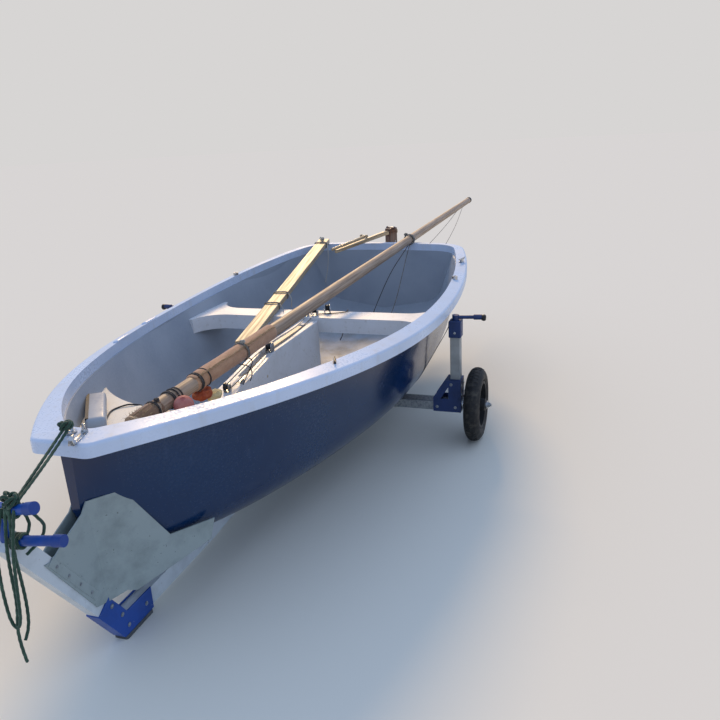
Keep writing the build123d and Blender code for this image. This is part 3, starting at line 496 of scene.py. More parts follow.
# ---------------------------------------------------------------------------
# Fittings. Black moulded plastic with a fine grit and rubbed places, bright
# stainless deck and transom fittings, and a galvanised axle beam gone cloudy.
# ---------------------------------------------------------------------------
def worn_finish(name, colour, second, gloss, patch, tones, duller, grit, **plain):
    """Two tones in patches, gloss that goes duller with them by two factors, and a fine grit."""
    material = start_finish(name, colour, gloss, **plain)
    slow = patches(material, *patch)
    two_tone(material, slow, *tones, colour, second)
    rough = spread(material, slow, 0.35, 0.7, gloss * duller[0], min(1.0, gloss * duller[1]))
    feed(material, rough, "Roughness")
    grit_mm, depth_mm, strength = grit
    relief(material, patches(material, grit_mm, 1.0), depth_mm, strength)
    return material


def plastic(name, colour, worn, gloss, grit_mm=1.6):
    """Moulded plastic or rubber: a fine tooled grit and paler rubbed places."""
    return worn_finish(name, colour, worn, gloss, (55.0, 5.0, 0.6), (0.48, 0.72), (1.0, 1.3),
                       (grit_mm, 0.12, 0.6), IOR=1.46)


def steel(name, colour, dull, gloss, patch_mm):
    """Metal fittings: rubbed bright, with duller patches and fine brush lines."""
    return worn_finish(name, colour, dull, gloss, (patch_mm, 4.0, 0.6), (0.40, 0.66), (0.8, 1.5),
                       (1.4, 0.05, 0.4), Metallic=1.0)


black_moulding = plastic("black moulded plastic", "#18191b", "#2c2d30", 0.42)
stainless = steel("stainless steel", "#c3c6c9", "#8c8f92", 0.24, 16.0)
galvanised = steel("galvanised steel", "#a8adb1", "#858b90", 0.42, 12.0)
dress(black_moulding, "mast_cap")
dress(stainless, "bow_eye", "gudgeon_lower", "gudgeon_upper",
      "rowlock_socket_port", "rowlock_socket_starboard",
      "stub_axle_port", "stub_axle_starboard")
dress(galvanised, "axle_beam")


# ---------------------------------------------------------------------------
# Trolley steelwork. Powder coat over folded plate and square tube: the front
# tube white, the cradle a white-grey coloured darker as painted shade, the handle
# and brackets blue, the posts grey.
# ---------------------------------------------------------------------------
def powder_coat(name, colour, grimy, gloss, chips, chip_colour):
    """Baked powder: orange peel, road grime that settles in patches, and small chips."""
    material = worn_finish(name, colour, grimy, gloss, (110.0, 6.0, 0.62), (0.46, 0.74), (1.0, 1.6),
                           (2.4, 0.10, 0.6), IOR=1.5)
    stain(material, spots(material, 11.0, 3.0, 0.5, 0.70, 0.74, chips), chip_colour)
    return material


# Painted shade: the cradle plates' white-grey coat is coloured a darker grey-green for the shade they stand
# in; the chips are real wear.
shade_darkened_plate_coat = powder_coat("cradle powder coat with painted shade", "#94a09f", "#7c8886", 0.44, 0.8, "#4f5652")
dress(powder_coat("white powder coat", "#cbd2d5", "#b3babb", 0.40, 0.55, "#8f8574"),
      "front_tube", "spine_beam")
dress(shade_darkened_plate_coat, "cradle_plate_port", "cradle_plate_starboard")
dress(powder_coat("blue powder coat", "#0f479c", "#113d84", 0.32, 0.5, "#8f9ab0"), "tow_handle", "foot_knee")
dress(powder_coat("dark blue powder coat", "#17356a", "#142a50", 0.36, 0.4, "#5d6880"),
      "wheel_bracket_port", "wheel_bracket_starboard", "lift_crank_port", "lift_crank_starboard",
      "post_cap_port", "post_cap_starboard")
dress(powder_coat("grey powder coat", "#a3a6a3", "#8b8e8a", 0.42, 0.4, "#6b5a4c"),
      "lift_post_port", "lift_post_starboard")
dress(plastic("dark blue grip ends", "#143c86", "#1c4690", 0.42),
      "grip_cap_high_port", "grip_cap_high_starboard", "grip_cap_low_port", "grip_cap_low_starboard")
dress(plastic("grey pad rubber", "#4a4d50", "#66686a", 0.75),
      "foot_pad", "keel_block", "bow_pad_port", "bow_pad_starboard")
dress(plastic("black wheel moulding", "#1a1c1e", "#2f3134", 0.5), "wheel_rim_port", "wheel_rim_starboard")
dress(plastic("solid tyre rubber", "#161819", "#33312d", 0.72, 2.2), "tyre_port", "tyre_starboard")


# ---------------------------------------------------------------------------
# Furled sail. Tan cloth rolled tight round the foot of the mast, its free edge
# lapped along the top and coming undone in threads; a canvas wrap at the heel.
# ---------------------------------------------------------------------------
mast_up = (Vector((0, 0, 1)) - mast_way * mast_way.z).normalized()
mast_side = mast_way.cross(mast_up)


def outward(angle):
    """Direction straight out from the mast; the angle turns from the top towards starboard."""
    return mast_up * math.cos(angle) + mast_side * math.sin(angle)


def on_mast(along, angle=0.0, reach=0.0):
    """Point at a distance from the mast's heel, and out from its axis."""
    return mast_heel + mast_way * along + outward(angle) * reach


def roll(name, begin, end, reach, lap, lap_angle, pinches, seed, material, around=120):
    """Cloth rolled round the mast: a spiral section with a lapped edge, wrinkles and pinched places."""
    steps = int((end - begin) / 0.0026)
    core = 0.026
    mesh = bmesh.new()
    rings = []
    for i in range(steps + 1):
        along = begin + (end - begin) * i / steps
        from_end = min(along - begin, end - along)
        tucked = 0.006 * math.exp(-from_end / 0.007)
        waist = sum(0.0035 * math.exp(-((along - p) / 0.012) ** 2) for p in pinches)
        drift = 0.16 * noise.noise(Vector((along * 9, seed, 0)))
        ring = []
        for k in range(around):
            turn = k / around
            angle = lap_angle + drift + math.tau * turn
            folds = 0.0016 * noise.noise(Vector((
                along * 14, math.cos(angle) * 2.4, math.sin(angle) * 2.4 + seed)))
            folds += 0.0007 * noise.noise(Vector((along * 60 + turn * 40, math.cos(angle) * 5, seed)))
            edge = max(0.0, (turn - 0.955) / 0.045)
            ridge = edge ** 2 * (0.0016 + 0.0018 * abs(noise.noise(Vector((along * 130, seed, 3)))))
            out = reach + lap * turn + folds + ridge - tucked - waist
            ring.append(mesh.verts.new(on_mast(along, angle, max(out, core + 0.001))))
        rings.append(ring)
    for along in (end - 0.003, begin + 0.003):
        rings.append([mesh.verts.new(on_mast(along, lap_angle + math.tau * k / around, core))
                      for k in range(around)])
    bridge(mesh, rings, lambda row, column: ((end - begin) * row / steps, math.tau * reach * column / around),
           closed=True)
    bmesh.ops.recalc_face_normals(mesh, faces=mesh.faces)
    piece = mesh_piece(name, mesh, material)
    return piece


def weave(material, warp_mm, weft_mm, distortion, detail, detail_scale):
    """Height of a plain weave over the UVs, from the width of its threads."""
    waves = [add(material, "TexWave", {"wave_type": "BANDS", "bands_direction": direction}, {
        "Vector": coords(material, "UV"), "Scale": 157.0 / thread_mm, "Distortion": distortion,
        "Detail": detail, "Detail Scale": detail_scale,
    }).outputs["Fac"] for direction, thread_mm in (("X", warp_mm), ("Y", weft_mm))]
    return multiply(material, *waves)


def cloth(name, colour, faded, dirt, thread_mm):
    """Plain weave as relief, sun-faded in long patches, with dirt in the folds."""
    material = start_finish(name, colour, 0.86, Sheen_Weight=0.3, Sheen_Roughness=0.5)
    two_tone(material, patches(material, 70.0, 4.0, 0.6), 0.42, 0.68, colour, faded)
    stain(material, spots(material, 24.0, 5.0, 0.65, 0.55, 0.75, 0.6), dirt)
    relief(material, weave(material, thread_mm, thread_mm, 0.6, 1.0, 2.0), 0.35, 0.55)
    return material


tan_cloth = cloth("tan sailcloth", "#b28562", "#c0946f", "#8b684d", 1.1)
brown_canvas = cloth("brown canvas", "#7a5b43", "#8f6f53", "#4c3829", 1.6)
sail = roll("furled_sail_cloth", 0.345, 0.958, 0.0335, 0.0034, math.radians(42), (0.372, 0.70),
            4.0, tan_cloth)
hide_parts("furled_sail")
roll("heel_wrap", 0.004, 0.150, 0.0305, 0.0022, math.radians(15), (0.118,), 9.0, brown_canvas, 96)


def threads(name, places, length, material, seed):
    """Loose threads, each a thin curved taper that starts on the cloth; places are (point, way)."""
    mesh = bmesh.new()
    for index, (root, way) in enumerate(places):
        side = way.orthogonal().normalized()
        other = way.cross(side).normalized()
        bend = noise.noise_vector(Vector((index * 1.7, seed, 0.3))) * 0.9
        rows = []
        for step in range(4):
            share = step / 3
            centre = root + (way + bend * share).normalized() * length * share * (0.6 + 0.5 * abs(bend.x))
            thick = 0.0008 * (1.0 - 0.6 * share)
            rows.append([mesh.verts.new(centre + side * math.cos(a) * thick + other * math.sin(a) * thick)
                         for a in (0.0, 2.094, 4.189)])
        bridge(mesh, rows, smooth=False)
    mesh_piece(name, mesh, material)


straw = cordage("straw coloured thread", "#8d7650", "#c4ac7c", "#d8c79c", 3.0)
edge_places, heel_places = [], []
for i in range(180):
    along = 0.37 + 0.58 * ((i * 0.618034) % 1.0)
    angle = math.radians(40 + 7 * math.sin(i * 2.3))
    way = outward(angle) * 0.5 + mast_way * (0.9 if i % 3 else -0.7) + mast_side * 0.4
    edge_places.append((on_mast(along, angle, 0.0362), way.normalized()))
for i in range(110):
    along = 0.006 + 0.10 * ((i * 0.618034) % 1.0)
    angle = math.tau * ((i * 0.414) % 1.0)
    way = outward(angle) * 0.35 + mast_up * 0.2 - mast_way * (1.1 if i % 2 else -0.5)
    heel_places.append((on_mast(along, angle, 0.031), way.normalized()))
threads("sail_edge_threads", edge_places, 0.017, straw, 2.0)
threads("heel_wrap_threads", heel_places, 0.020, straw, 6.0)


# ---------------------------------------------------------------------------
# Lashings. Thin dark twine and grey line hitched by hand round the mast, the
# furled sail and the boom, with the ends left long.
# ---------------------------------------------------------------------------
def lash(name, along, turns, reach, radius, material):
    """Turns of line round the mast."""
    wind(name, on_mast(along), mast_way, reach + radius, turns, radius * 2.1, radius, material, 0.03)


lash("mast_lashing_heel", 0.108, 2, 0.0315, 0.0022, tarred_twine)
lash("mast_ring_fore", 0.196, 2, 0.0295, 0.0032, tarred_twine)
lash("mast_ring_aft", 0.224, 1, 0.0295, 0.0032, tarred_twine)
lash("sail_lashing_fore", 0.362, 3, 0.0335, 0.0024, tarred_twine)
lash("sail_lashing_aft", 0.692, 3, 0.0365, 0.0022, grey_cordage)
lash("transom_lashing", 2.866, 4, 0.0318, 0.0030, grey_cordage)
knot("mast_lashing_knot", on_mast(0.125, math.radians(20), 0.038), 0.0105, 0.0026, tarred_twine, 5)
knot("sail_lashing_knot", on_mast(0.706, math.radians(10), 0.044), 0.012, 0.0024, pale_cordage, 3)
knot("transom_lashing_knot", on_mast(2.880, math.radians(-35), 0.041), 0.013, 0.0030, grey_cordage, 8)
knot("boom_end_knot", boom_aft.lerp(boom_fore, 0.034) + Vector((0, 0, 0.030)), 0.019, 0.0030, pale_cordage, 6)


def boom_lash(name, share, turns, radius, material):
    """Turns of line round the flat boom, as a rounded rectangle."""
    middle = boom_aft.lerp(boom_fore, share)
    edge_way = Vector((0, 0, 1)).cross(boom_way).normalized()
    flat_way = boom_way.cross(edge_way).normalized()
    corners = ((0.041, 0.010), (0.041, 0.0205), (0.0, 0.0212), (-0.041, 0.0205), (-0.041, 0.010),
               (-0.041, -0.0205), (0.0, -0.0212), (0.041, -0.0205))
    points = []
    for i in range(turns * 8 + 1):
        across, up = corners[i % 8]
        points.append(middle + boom_way * (radius * 2.1 * i / 8) + edge_way * across + flat_way * up)
    lay_rope(name, points, radius, material)


for label, share in (("fore", 0.712), ("middle", 0.616), ("aft", 0.055)):
    boom_lash(f"boom_lashing_{label}", share, 3, 0.0024, grey_cordage)


# ---------------------------------------------------------------------------
# Lines. The sheets and tails left lying or hanging from mast, boom and case,
# and the mast's two thin stays, led from its end down to the transom's rim.
# ---------------------------------------------------------------------------
def surface(name, origin, direction):
    """Where a line first meets a CAD node, and the node's outward normal there."""
    node = nodes[name]
    back = node.matrix_world.inverted()
    way = (back.to_3x3() @ Vector(direction)).normalized()
    found, place, normal, _ = node.ray_cast(back @ Vector(origin), way)
    if not found:
        raise ValueError(f"{name} is not there: {tuple(origin)}")
    return node.matrix_world @ place, (node.matrix_world.to_3x3() @ normal).normalized()


def top_of(name, station, port):
    """Point on top of a CAD node, and its normal."""
    return surface(name, at(station, port, 1.4), (0, 0, -1))


def above(name, station, port, lift=0.0):
    """Point on top of a CAD node, lifted off it."""
    return top_of(name, station, port)[0] + Vector((0, 0, lift))


control_radius = 0.0028
tail_radius = 0.0022
falls = {
    "sail_tail_long": (tail_radius, tarred_twine, "object", [
        on_mast(0.712, math.radians(60), 0.040), on_mast(0.700, math.radians(-95), 0.049),
        on_mast(0.690, math.radians(-140), 0.066), at(1.040, 0.078, 0.640),
        at(1.062, 0.072, 0.590), at(1.075, 0.051, 0.560)]),
    "sail_tail_short": (tail_radius, tarred_twine, "object", [
        on_mast(0.700, math.radians(40), 0.041), on_mast(0.722, math.radians(-70), 0.047),
        on_mast(0.735, math.radians(-140), 0.062), at(1.100, 0.070, 0.655),
        at(1.020, 0.066, 0.600), at(1.010, 0.051, 0.566)]),
    "case_control_line": (control_radius, pale_cordage, "object", [
        at(0.962, -0.010, 0.569), at(1.10, -0.016, 0.5855), at(1.34, -0.019, 0.6105),
        at(1.55, -0.030, 0.6095),
        at(1.72, -0.014, 0.610), at(1.869, -0.030, 0.612), at(1.93, -0.034, 0.627)]),
    "case_return_line": (control_radius, grey_cordage, "object", [
        at(0.958, 0.022, 0.569), at(1.12, 0.026, 0.5875), at(1.30, 0.020, 0.6095), at(1.56, 0.026, 0.6095),
        at(1.78, 0.010, 0.610), at(1.880, 0.006, 0.614), at(1.93, 0.004, 0.627)]),
    "thwart_loose_line": (control_radius, tarred_twine, "bare", [
        at(1.935, 0.016, 0.627), at(1.972, 0.120, 0.6265), at(2.010, 0.172, 0.6265), at(2.062, 0.150, 0.630),
        at(2.100, 0.110, 0.560), at(2.190, 0.070, 0.445), at(2.320, 0.000, 0.372)]),
    "boom_tail_aft": (0.0026, pale_cordage, "bare", [
        at(3.152, -0.370, 0.795), at(3.120, -0.352, 0.785), at(3.070, -0.330, 0.740),
        at(3.040, -0.330, 0.640), at(3.020, -0.345, 0.560)]),
    "transom_tail": (control_radius, grey_cordage, "bare", [
        on_mast(2.860, math.radians(170), 0.036), at(3.186, 0.198, 0.758), at(3.080, 0.185, 0.620),
        at(2.930, 0.165, 0.430), at(2.840, 0.150, 0.372)]),
    "transom_tail_long": (control_radius, tarred_twine, "bare", [
        on_mast(2.872, math.radians(190), 0.036), at(3.160, 0.180, 0.752), at(3.020, 0.120, 0.640),
        at(2.850, 0.070, 0.470), at(2.745, 0.050, 0.372)]),
}
for label, share, drop in (("fore", 0.715, 0.085), ("middle", 0.620, 0.075)):
    root = boom_aft.lerp(boom_fore, share) + Vector((0.0, 0.043, 0.012))
    falls[f"boom_tail_{label}"] = (tail_radius, pale_cordage, "bare", [
        root, root + Vector((0.008, 0.022, -0.012)), root + Vector((0.020, 0.028, -drop * 0.6)),
        root + Vector((0.012, 0.020, -drop))])
for name, (radius, finish, far_end, points) in falls.items():
    free_rope(name, points, radius, finish)
for label, port, sag in (("high", 0.330, 0.016), ("low", 0.440, 0.030)):
    start, foot = on_mast(4.452, math.radians(-70), 0.026), above("gunwale_rim", 3.262, port, 0.001)
    drop = Vector((0, 0, -sag))
    free_rope(f"mast_stay_{label}",
              [start, start.lerp(foot, 0.33) + drop, start.lerp(foot, 0.70) + drop, foot],
              0.0016, tarred_twine)


# ---------------------------------------------------------------------------
# Fastenings. Pan head bolts with washers and plain hexagon nuts, bright steel,
# through the trolley's folded plates, the knee, the brackets and the rudder head.
# ---------------------------------------------------------------------------
def begin(piece_name):
    """Names the primitive just added, applies its transform and picks faces from now on."""
    piece = bpy.context.object
    piece.name = piece_name
    piece.data.name = piece_name
    bpy.ops.object.transform_apply(location=True, rotation=True, scale=True)
    bpy.context.tool_settings.mesh_select_mode = (False, False, True)
    return piece


def block(name, length, width, height, centre=0.5):
    """A cube drawn out to three sizes; it stands on the origin, or is centred on it with centre 0."""
    bpy.ops.mesh.primitive_cube_add(size=1.0, location=(0, 0, centre))
    piece = begin(name)
    piece.data.transform(Matrix.Diagonal((length, width, height, 1.0)))
    return piece


def disc(name, radius, depth, centre, vertices, rotation=(0, 0, 0)):
    """A short cylinder, its middle at a height."""
    bpy.ops.mesh.primitive_cylinder_add(vertices=vertices, radius=radius, depth=depth,
                                        location=(0, 0, centre), rotation=rotation)
    return begin(name)


def pick(piece, rule=lambda face: face.normal.z > 0.9):
    """Opens the piece in edit mode with the faces that meet a rule selected, or its top."""
    if piece.mode == "EDIT":
        bpy.ops.object.mode_set(mode="OBJECT")
    for element in [*piece.data.vertices, *piece.data.edges]:
        element.select = False
    for face in piece.data.polygons:
        face.select = rule(face)
    bpy.ops.object.mode_set(mode="EDIT")


def inset(thickness):
    """Draws the picked faces in from their rim."""
    bpy.ops.mesh.inset(thickness=thickness, use_individual=False)


def pull(x, y, z):
    """Extrudes the picked faces and moves them."""
    bpy.ops.mesh.extrude_region_move(TRANSFORM_OT_translate={"value": (x, y, z)})


def swell(amount):
    """Extrudes the picked faces along their normals."""
    bpy.ops.mesh.extrude_region_shrink_fatten(TRANSFORM_OT_shrink_fatten={"value": amount})


def taper(x, y, z, **about):
    """Resizes the picked faces."""
    bpy.ops.transform.resize(value=(x, y, z), **about)


def finish_piece(piece, material, place, body="boat_and_trolley", edge=0.0, segments=2):
    """Leaves edit mode, rounds the edges, puts the piece in its place, with its finish and body."""
    bpy.ops.object.mode_set(mode="OBJECT")
    if edge:
        rounding = piece.modifiers.new("rounding", "BEVEL")
        rounding.width = edge
        rounding.segments = segments
        rounding.limit_method = "ANGLE"
        bpy.ops.object.modifier_apply(modifier="rounding")
    bpy.ops.object.shade_smooth_by_angle(angle=math.radians(35))
    piece.data.transform(place)
    piece.data.materials.append(material)
    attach(piece, body)
    bpy.ops.object.select_all(action="DESELECT")


def stand(place, up, along=(1.0, 0.0, 0.0)):
    """Places a piece modelled upright at the origin: its Z along up, its X near along."""
    up = Vector(up).normalized()
    along = Vector(along)
    if abs(along.normalized().dot(up)) > 0.95:
        along = Vector((0.0, 0.0, 1.0))
    along = (along - up * along.dot(up)).normalized()
    return Matrix.Translation(place) @ Matrix((along, up.cross(along), up)).transposed().to_4x4()


def fasteners(name, places, radius, material, body="boat_and_trolley", nut=False):
    """A set of bolt heads or nuts, each standing on a (point, normal); one is modelled, the rest copied."""
    washer_rim, head_rise = (0.45, 0.8) if nut else (0.5, 0.35)
    crown_rise, socket_rim, end_rise = (0.06, 0.14, 0.5) if nut else (0.22, 0.34, -0.22)
    first = disc(name, radius * 1.5, radius * 0.36, radius * 0.10, 24)
    pick(first)
    inset(radius * washer_rim)
    pull(0, 0, radius * head_rise)
    inset(radius * 0.28)
    bpy.ops.transform.translate(value=(0, 0, radius * crown_rise))
    inset(radius * socket_rim)
    pull(0, 0, radius * end_rise)
    bpy.ops.object.mode_set(mode="OBJECT")
    copies = []
    for place, normal in places[1:]:
        copy = first.copy()
        copy.data = first.data.copy()
        copy.data.transform(stand(place, normal))
        bpy.context.scene.collection.objects.link(copy)
        copies.append(copy)
    first.data.transform(stand(*places[0]))
    for piece in (first, *copies):
        piece.select_set(True)
    bpy.context.view_layer.objects.active = first
    if copies:
        bpy.ops.object.join()
    finish_piece(first, material, Matrix(), body)


sides = (("port", 1), ("starboard", -1))
axle_x, axle_height = 0.376, 0.188
bolt_rows = {
    "cheek_bolts": ("cradle_plate", 0.0038, [(0.1125 - 0.3393 * t, 0.5, 0.0994 + 0.4917 * t)
                                             for t in (0.33, 0.44, 0.55, 0.66)]),
    "knee_bolts": ("foot_knee", 0.0052, [(0.072, 0.5, 0.160), (0.112, 0.5, 0.100),
                                         (0.135, 0.5, 0.044), (0.235, 0.5, 0.054)]),
    "bracket_bolts": ("wheel_bracket", 0.0058, [(1.896, 1.0, 0.292), (1.952, 1.0, 0.292),
                                                (1.896, 1.0, 0.245), (1.952, 1.0, 0.245)]),
    "bracket_front_bolts": ("wheel_bracket", 0.0052, [(1.0, 0.745, 0.300), (1.0, 0.766, 0.178),
                                                      (1.0, 0.672, 0.178)]),
}
for label, sign in sides:
    inward, aft = (0, -sign, 0), (-1, 0, 0)
    for row, (part, radius, spots_on_it) in bolt_rows.items():
        node = part if part in nodes else f"{part}_{label}"
        way = aft if "front" in row else inward
        places = [surface(node, at(station, sign * port, height), way)
                  for station, port, height in spots_on_it]
        fasteners(f"{row}_{label}", places, radius, galvanised)
    cap = f"post_cap_{label}"
    screws = [surface(cap, at(1.0, sign * 0.762, 0.566), aft),
              surface(cap, at(1.924, sign * 1.0, 0.566), inward)]
    fasteners(f"post_cap_screws_{label}", screws, 0.0042, stainless)
    hub = [(Vector((axle_x, sign * 0.924, axle_height)), Vector((0, sign, 0)))]
    fasteners(f"axle_nut_{label}", hub, 0.0105, galvanised, nut=True)
    head = [surface("rudder_stock", at(3.405, sign * 0.4, 0.780), inward)]
    fasteners(f"rudder_head_bolt_{label}", head, 0.0050, stainless, body="rudder")


# ---------------------------------------------------------------------------
# Blocks and cleats. Small stainless cheek blocks with black sheaves that lead the
# control lines along the case and over the thwart, and plain horn cleats.
# ---------------------------------------------------------------------------
def sheave_block(name, place, up, along, size):
    """Two pressed cheeks on an axle with a grooved sheave between them; the base stands at place."""
    matrix = stand(place, up, along)
    sheave = disc(f"{name}_sheave", size * 0.46, size * 0.42, size * 0.62, 32, (math.radians(90), 0, 0))
    pick(sheave, lambda face: abs(face.normal.y) < 0.1)
    inset(size * 0.07)
    taper(0.76, 1.0, 0.76, center_override=(0, 0, size * 0.62))
    finish_piece(sheave, black_moulding, matrix, edge=size * 0.015)
    cheeks = block(f"{name}_cheeks", size * 0.72, size * 0.62, size * 0.10, size * 0.03)
    for side in (1, -1):
        pick(cheeks, lambda face: face.normal.y * side > 0.9)
        pull(0, side * size * 0.05, 0)
        pick(cheeks, lambda face: face.normal.z > 0.9 and face.center.y * side > size * 0.31)
        pull(0, 0, size * 0.62)
        pull(0, 0, size * 0.34)
        taper(0.55, 1.0, 1.0, center_override=(0, side * size * 0.33, size))
        pick(cheeks, lambda face: face.normal.y * side > 0.9 and size * 0.3 < face.center.z < size * 0.75)
        inset(size * 0.16)
        pull(0, side * size * 0.07, 0)
    finish_piece(cheeks, stainless, matrix, edge=size * 0.018)


for name, node, station, port, up, along, size in (
        ("case_fore_block", "centreboard_case", 0.958, 0.006, (0.10, 0, 1), (1, 0, 0), 0.036),
        ("case_middle_block", "centreboard_case", 1.345, 0.022, (0, 0, 1), (1, -0.1, 0), 0.042),
        ("thwart_block_inner", "centre_thwart", 1.915, -0.034, (0, 0, 1), (1, 0.1, 0), 0.044),
        ("thwart_block_middle", "centre_thwart", 1.930, 0.010, (0, 0, 1), (1, 0.3, 0), 0.050),
        ("thwart_block_outer", "centre_thwart", 1.990, 0.060, (0, 0, 1), (1, 0.5, 0), 0.044)):
    sheave_block(name, above(node, station, port), up, along, size)


def cleat(name, node, station, port, along, length, material):
    """Horn cleat: a foot and two horns drawn out of one block, screwed down."""
    piece = block(name, length * 0.42, length * 0.20, length * 0.07)
    pick(piece)
    inset(length * 0.03)
    pull(0, 0, length * 0.13)
    pull(0, 0, length * 0.09)
    for side in (1, -1):
        pick(piece, lambda face: face.normal.x * side > 0.9 and face.center.z > length * 0.19)
        pull(side * length * 0.17, 0, length * 0.015)
        taper(1.0, 0.8, 0.8)
        pull(side * length * 0.16, 0, length * 0.035)
        taper(1.0, 0.55, 0.6)
    finish_piece(piece, material, stand(*top_of(node, station, port), along), edge=length * 0.012)


cleat("case_cleat", "centreboard_case", 1.040, 0.033, (1, 0, 0), 0.062, stainless)
cleat("thwart_cleat", "centre_thwart", 1.960, -0.090, (1, 0.2, 0), 0.075, stainless)
cleat("rim_cleat", "gunwale_rim", 0.888, 0.508, (1, 0.5, 0), 0.050, black_moulding)
cleat("quarter_cleat", "gunwale_rim", 2.760, 0.637, (1, -0.25, 0), 0.085, stainless)


# ---------------------------------------------------------------------------
# Bow fitting. A stainless fairlead beside the bow eye: a base strap on the rim
# with two plain horns, one each side of where the painter leads off.
# ---------------------------------------------------------------------------
fairlead = block("bow_fairlead", 0.074, 0.020, 0.004)
for side in (1, -1):
    pick(fairlead, lambda face: face.normal.x * side > 0.9)
    pull(side * 0.008, 0, 0)
    pick(fairlead, lambda face: face.normal.z > 0.9 and face.center.x * side > 0.038)
    pull(side * 0.002, 0, 0.013)
    taper(0.9, 0.55, 1.0)
    pull(-side * 0.004, 0, 0.011)
    taper(0.7, 0.75, 1.0)
pick(fairlead, lambda face: face.normal.z > 0.9 and abs(face.center.x) < 0.01)
inset(0.004)
pull(0, 0, -0.0012)
finish_piece(fairlead, stainless, stand(*top_of("gunwale_rim", 0.030, 0.052), (1, 0.25, 0)), edge=0.0012)


# ---------------------------------------------------------------------------
# Loose gear. A pink rubber float, an orange stuff bag and a yellow sponge kept
# under the mast ahead of the case, on short lines; black shock cord on the seat.
# ---------------------------------------------------------------------------
ball_place = at(0.545, 0.066, 0.6565)
bpy.ops.mesh.primitive_uv_sphere_add(segments=48, ring_count=24, radius=0.036)
float_ball = begin("float_ball")
pick(float_ball, lambda face: abs(face.normal.z) > 0.955)
inset(0.0025)
taper(1, 1, 0.93)
pick(float_ball, lambda face: abs(face.center.y) < 0.0022)
inset(0.0006)
taper(0.985, 1, 0.985)
finish_piece(float_ball, plastic("faded pink rubber", "#a65a55", "#c08379", 0.6),
             stand(ball_place, (0.5, 0.3, 1)))


def bag(name, centre, size, squash, seed, material):
    """Soft bundle: an oval drawn in at the neck, with creases that run to it."""
    mesh = bmesh.new()
    rows, around = 40, 56
    rings = []
    for i in range(1, rows):
        polar = math.pi * i / rows
        ring = []
        for k in range(around):
            angle = math.tau * k / around
            way = Vector((math.sin(polar) * math.cos(angle), math.sin(polar) * math.sin(angle),
                          math.cos(polar)))
            ripple = 3 * noise.noise(way * 2 + Vector((seed, 0, 0)))
            crease = math.sin(angle * 9 + ripple) * max(0.0, way.z) ** 1.5
            lump = 0.20 * noise.noise(way * 1.7 + Vector((seed, seed, 0)))
            neck = 1.0 - 0.55 * max(0.0, way.z - 0.80) / 0.2
            out = size * (1.0 + lump + 0.07 * crease) * neck
            ring.append(mesh.verts.new(centre + way * Vector(squash) * out))
        rings.append(ring)
    bridge(mesh, rings)
    bmesh.ops.recalc_face_normals(mesh, faces=mesh.faces)
    mesh_piece(name, mesh, material)


orange_nylon = plastic("faded orange nylon", "#a34a28", "#bd6a3c", 0.62, 1.2)
yellow_sponge = plastic("yellow sponge", "#d2c391", "#e2d8b4", 0.9, 4.0)
bag("stuff_bag", at(0.772, 0.004, 0.612), 0.040, (1.25, 0.8, 0.62), 3.0, orange_nylon)
bag("sponge", at(0.846, 0.012, 0.580), 0.036, (1.2, 0.7, 0.6), 8.0, yellow_sponge)
ball_root, bag_root = on_mast(0.242, math.radians(-60), 0.033), on_mast(0.415, math.radians(180), 0.038)
for name, start, foot in (("ball_line", ball_root, ball_place + Vector((-0.020, -0.012, 0.026))),
                          ("bag_line", bag_root, at(0.772, 0.004, 0.634))):
    lay_rope(name, [start, start.lerp(foot, 0.5) + Vector((0.004, 0.006, 0.0)), foot], 0.0016, tarred_twine)
lash("gear_lashing_fore", 0.242, 2, 0.0295, 0.0018, tarred_twine)
lash("gear_lashing_aft", 0.415, 2, 0.0350, 0.0018, tarred_twine)
on_seat = [(0.392, -0.150), (0.430, -0.182), (0.471, -0.203), (0.520, -0.226), (0.560, -0.218)]
seat_cord_points = [above("bow_seat", station, port, 0.0032) for station, port in on_seat]
seat_cord_points += [at(0.590, -0.186, 0.6275), at(0.600, -0.150, 0.618)]
free_rope("seat_shock_cord", seat_cord_points, 0.0030, shock_cord, strands=0)


# ---------------------------------------------------------------------------
# Seat hump and rim tabs. A grey moulded bulge beside the mast seat with a black
# strip along it that stands in for a shaded slot, painted shade as a dark piece,
# and two raised tabs on the inside of the far rim.
# ---------------------------------------------------------------------------
hump_matrix = stand(above("bow_seat", 0.478, -0.252, -0.004), (0, 0, 1), (-0.80, -0.60, 0.0))
hump = block("seat_hump", 0.300, 0.094, 0.030)
pick(hump)
inset(0.014)
bpy.ops.transform.translate(value=(0, 0, 0.016))
pick(hump, lambda face: abs(face.normal.x) > 0.9)
taper(1.0, 0.72, 0.85, center_override=(0, 0, 0))
finish_piece(hump, liner_grey, hump_matrix, edge=0.013, segments=6)
# Painted shade: the black strip stands where the seat shows a dark shaded slot.
strip = block("seat_hump_shade_strip", 0.262, 0.011, 0.010, 0.0)
pick(strip, lambda face: abs(face.normal.x) > 0.9)
inset(0.002)
pull(0, 0, -0.001)
finish_piece(strip, black_moulding, hump_matrix @ Matrix.Translation((0, 0.028, 0.0415)), edge=0.003)
for label, station, port, way in (("fore", 1.054, -0.547, (0.965, 0.262, 0)),
                                  ("aft", 1.400, -0.637, (0.985, 0.17, 0))):
    place, normal = top_of("gunwale_rim", station, port)
    tab = block(f"rim_tab_{label}", 0.120, 0.026, 0.006)
    pick(tab)
    inset(0.005)
    bpy.ops.transform.translate(value=(0, 0, 0.003))
    inset(0.004)
    pull(0, 0, -0.003)
    finish_piece(tab, sky_tinted_rim_white, stand(place - normal * 0.001, normal, way), edge=0.002, segments=3)


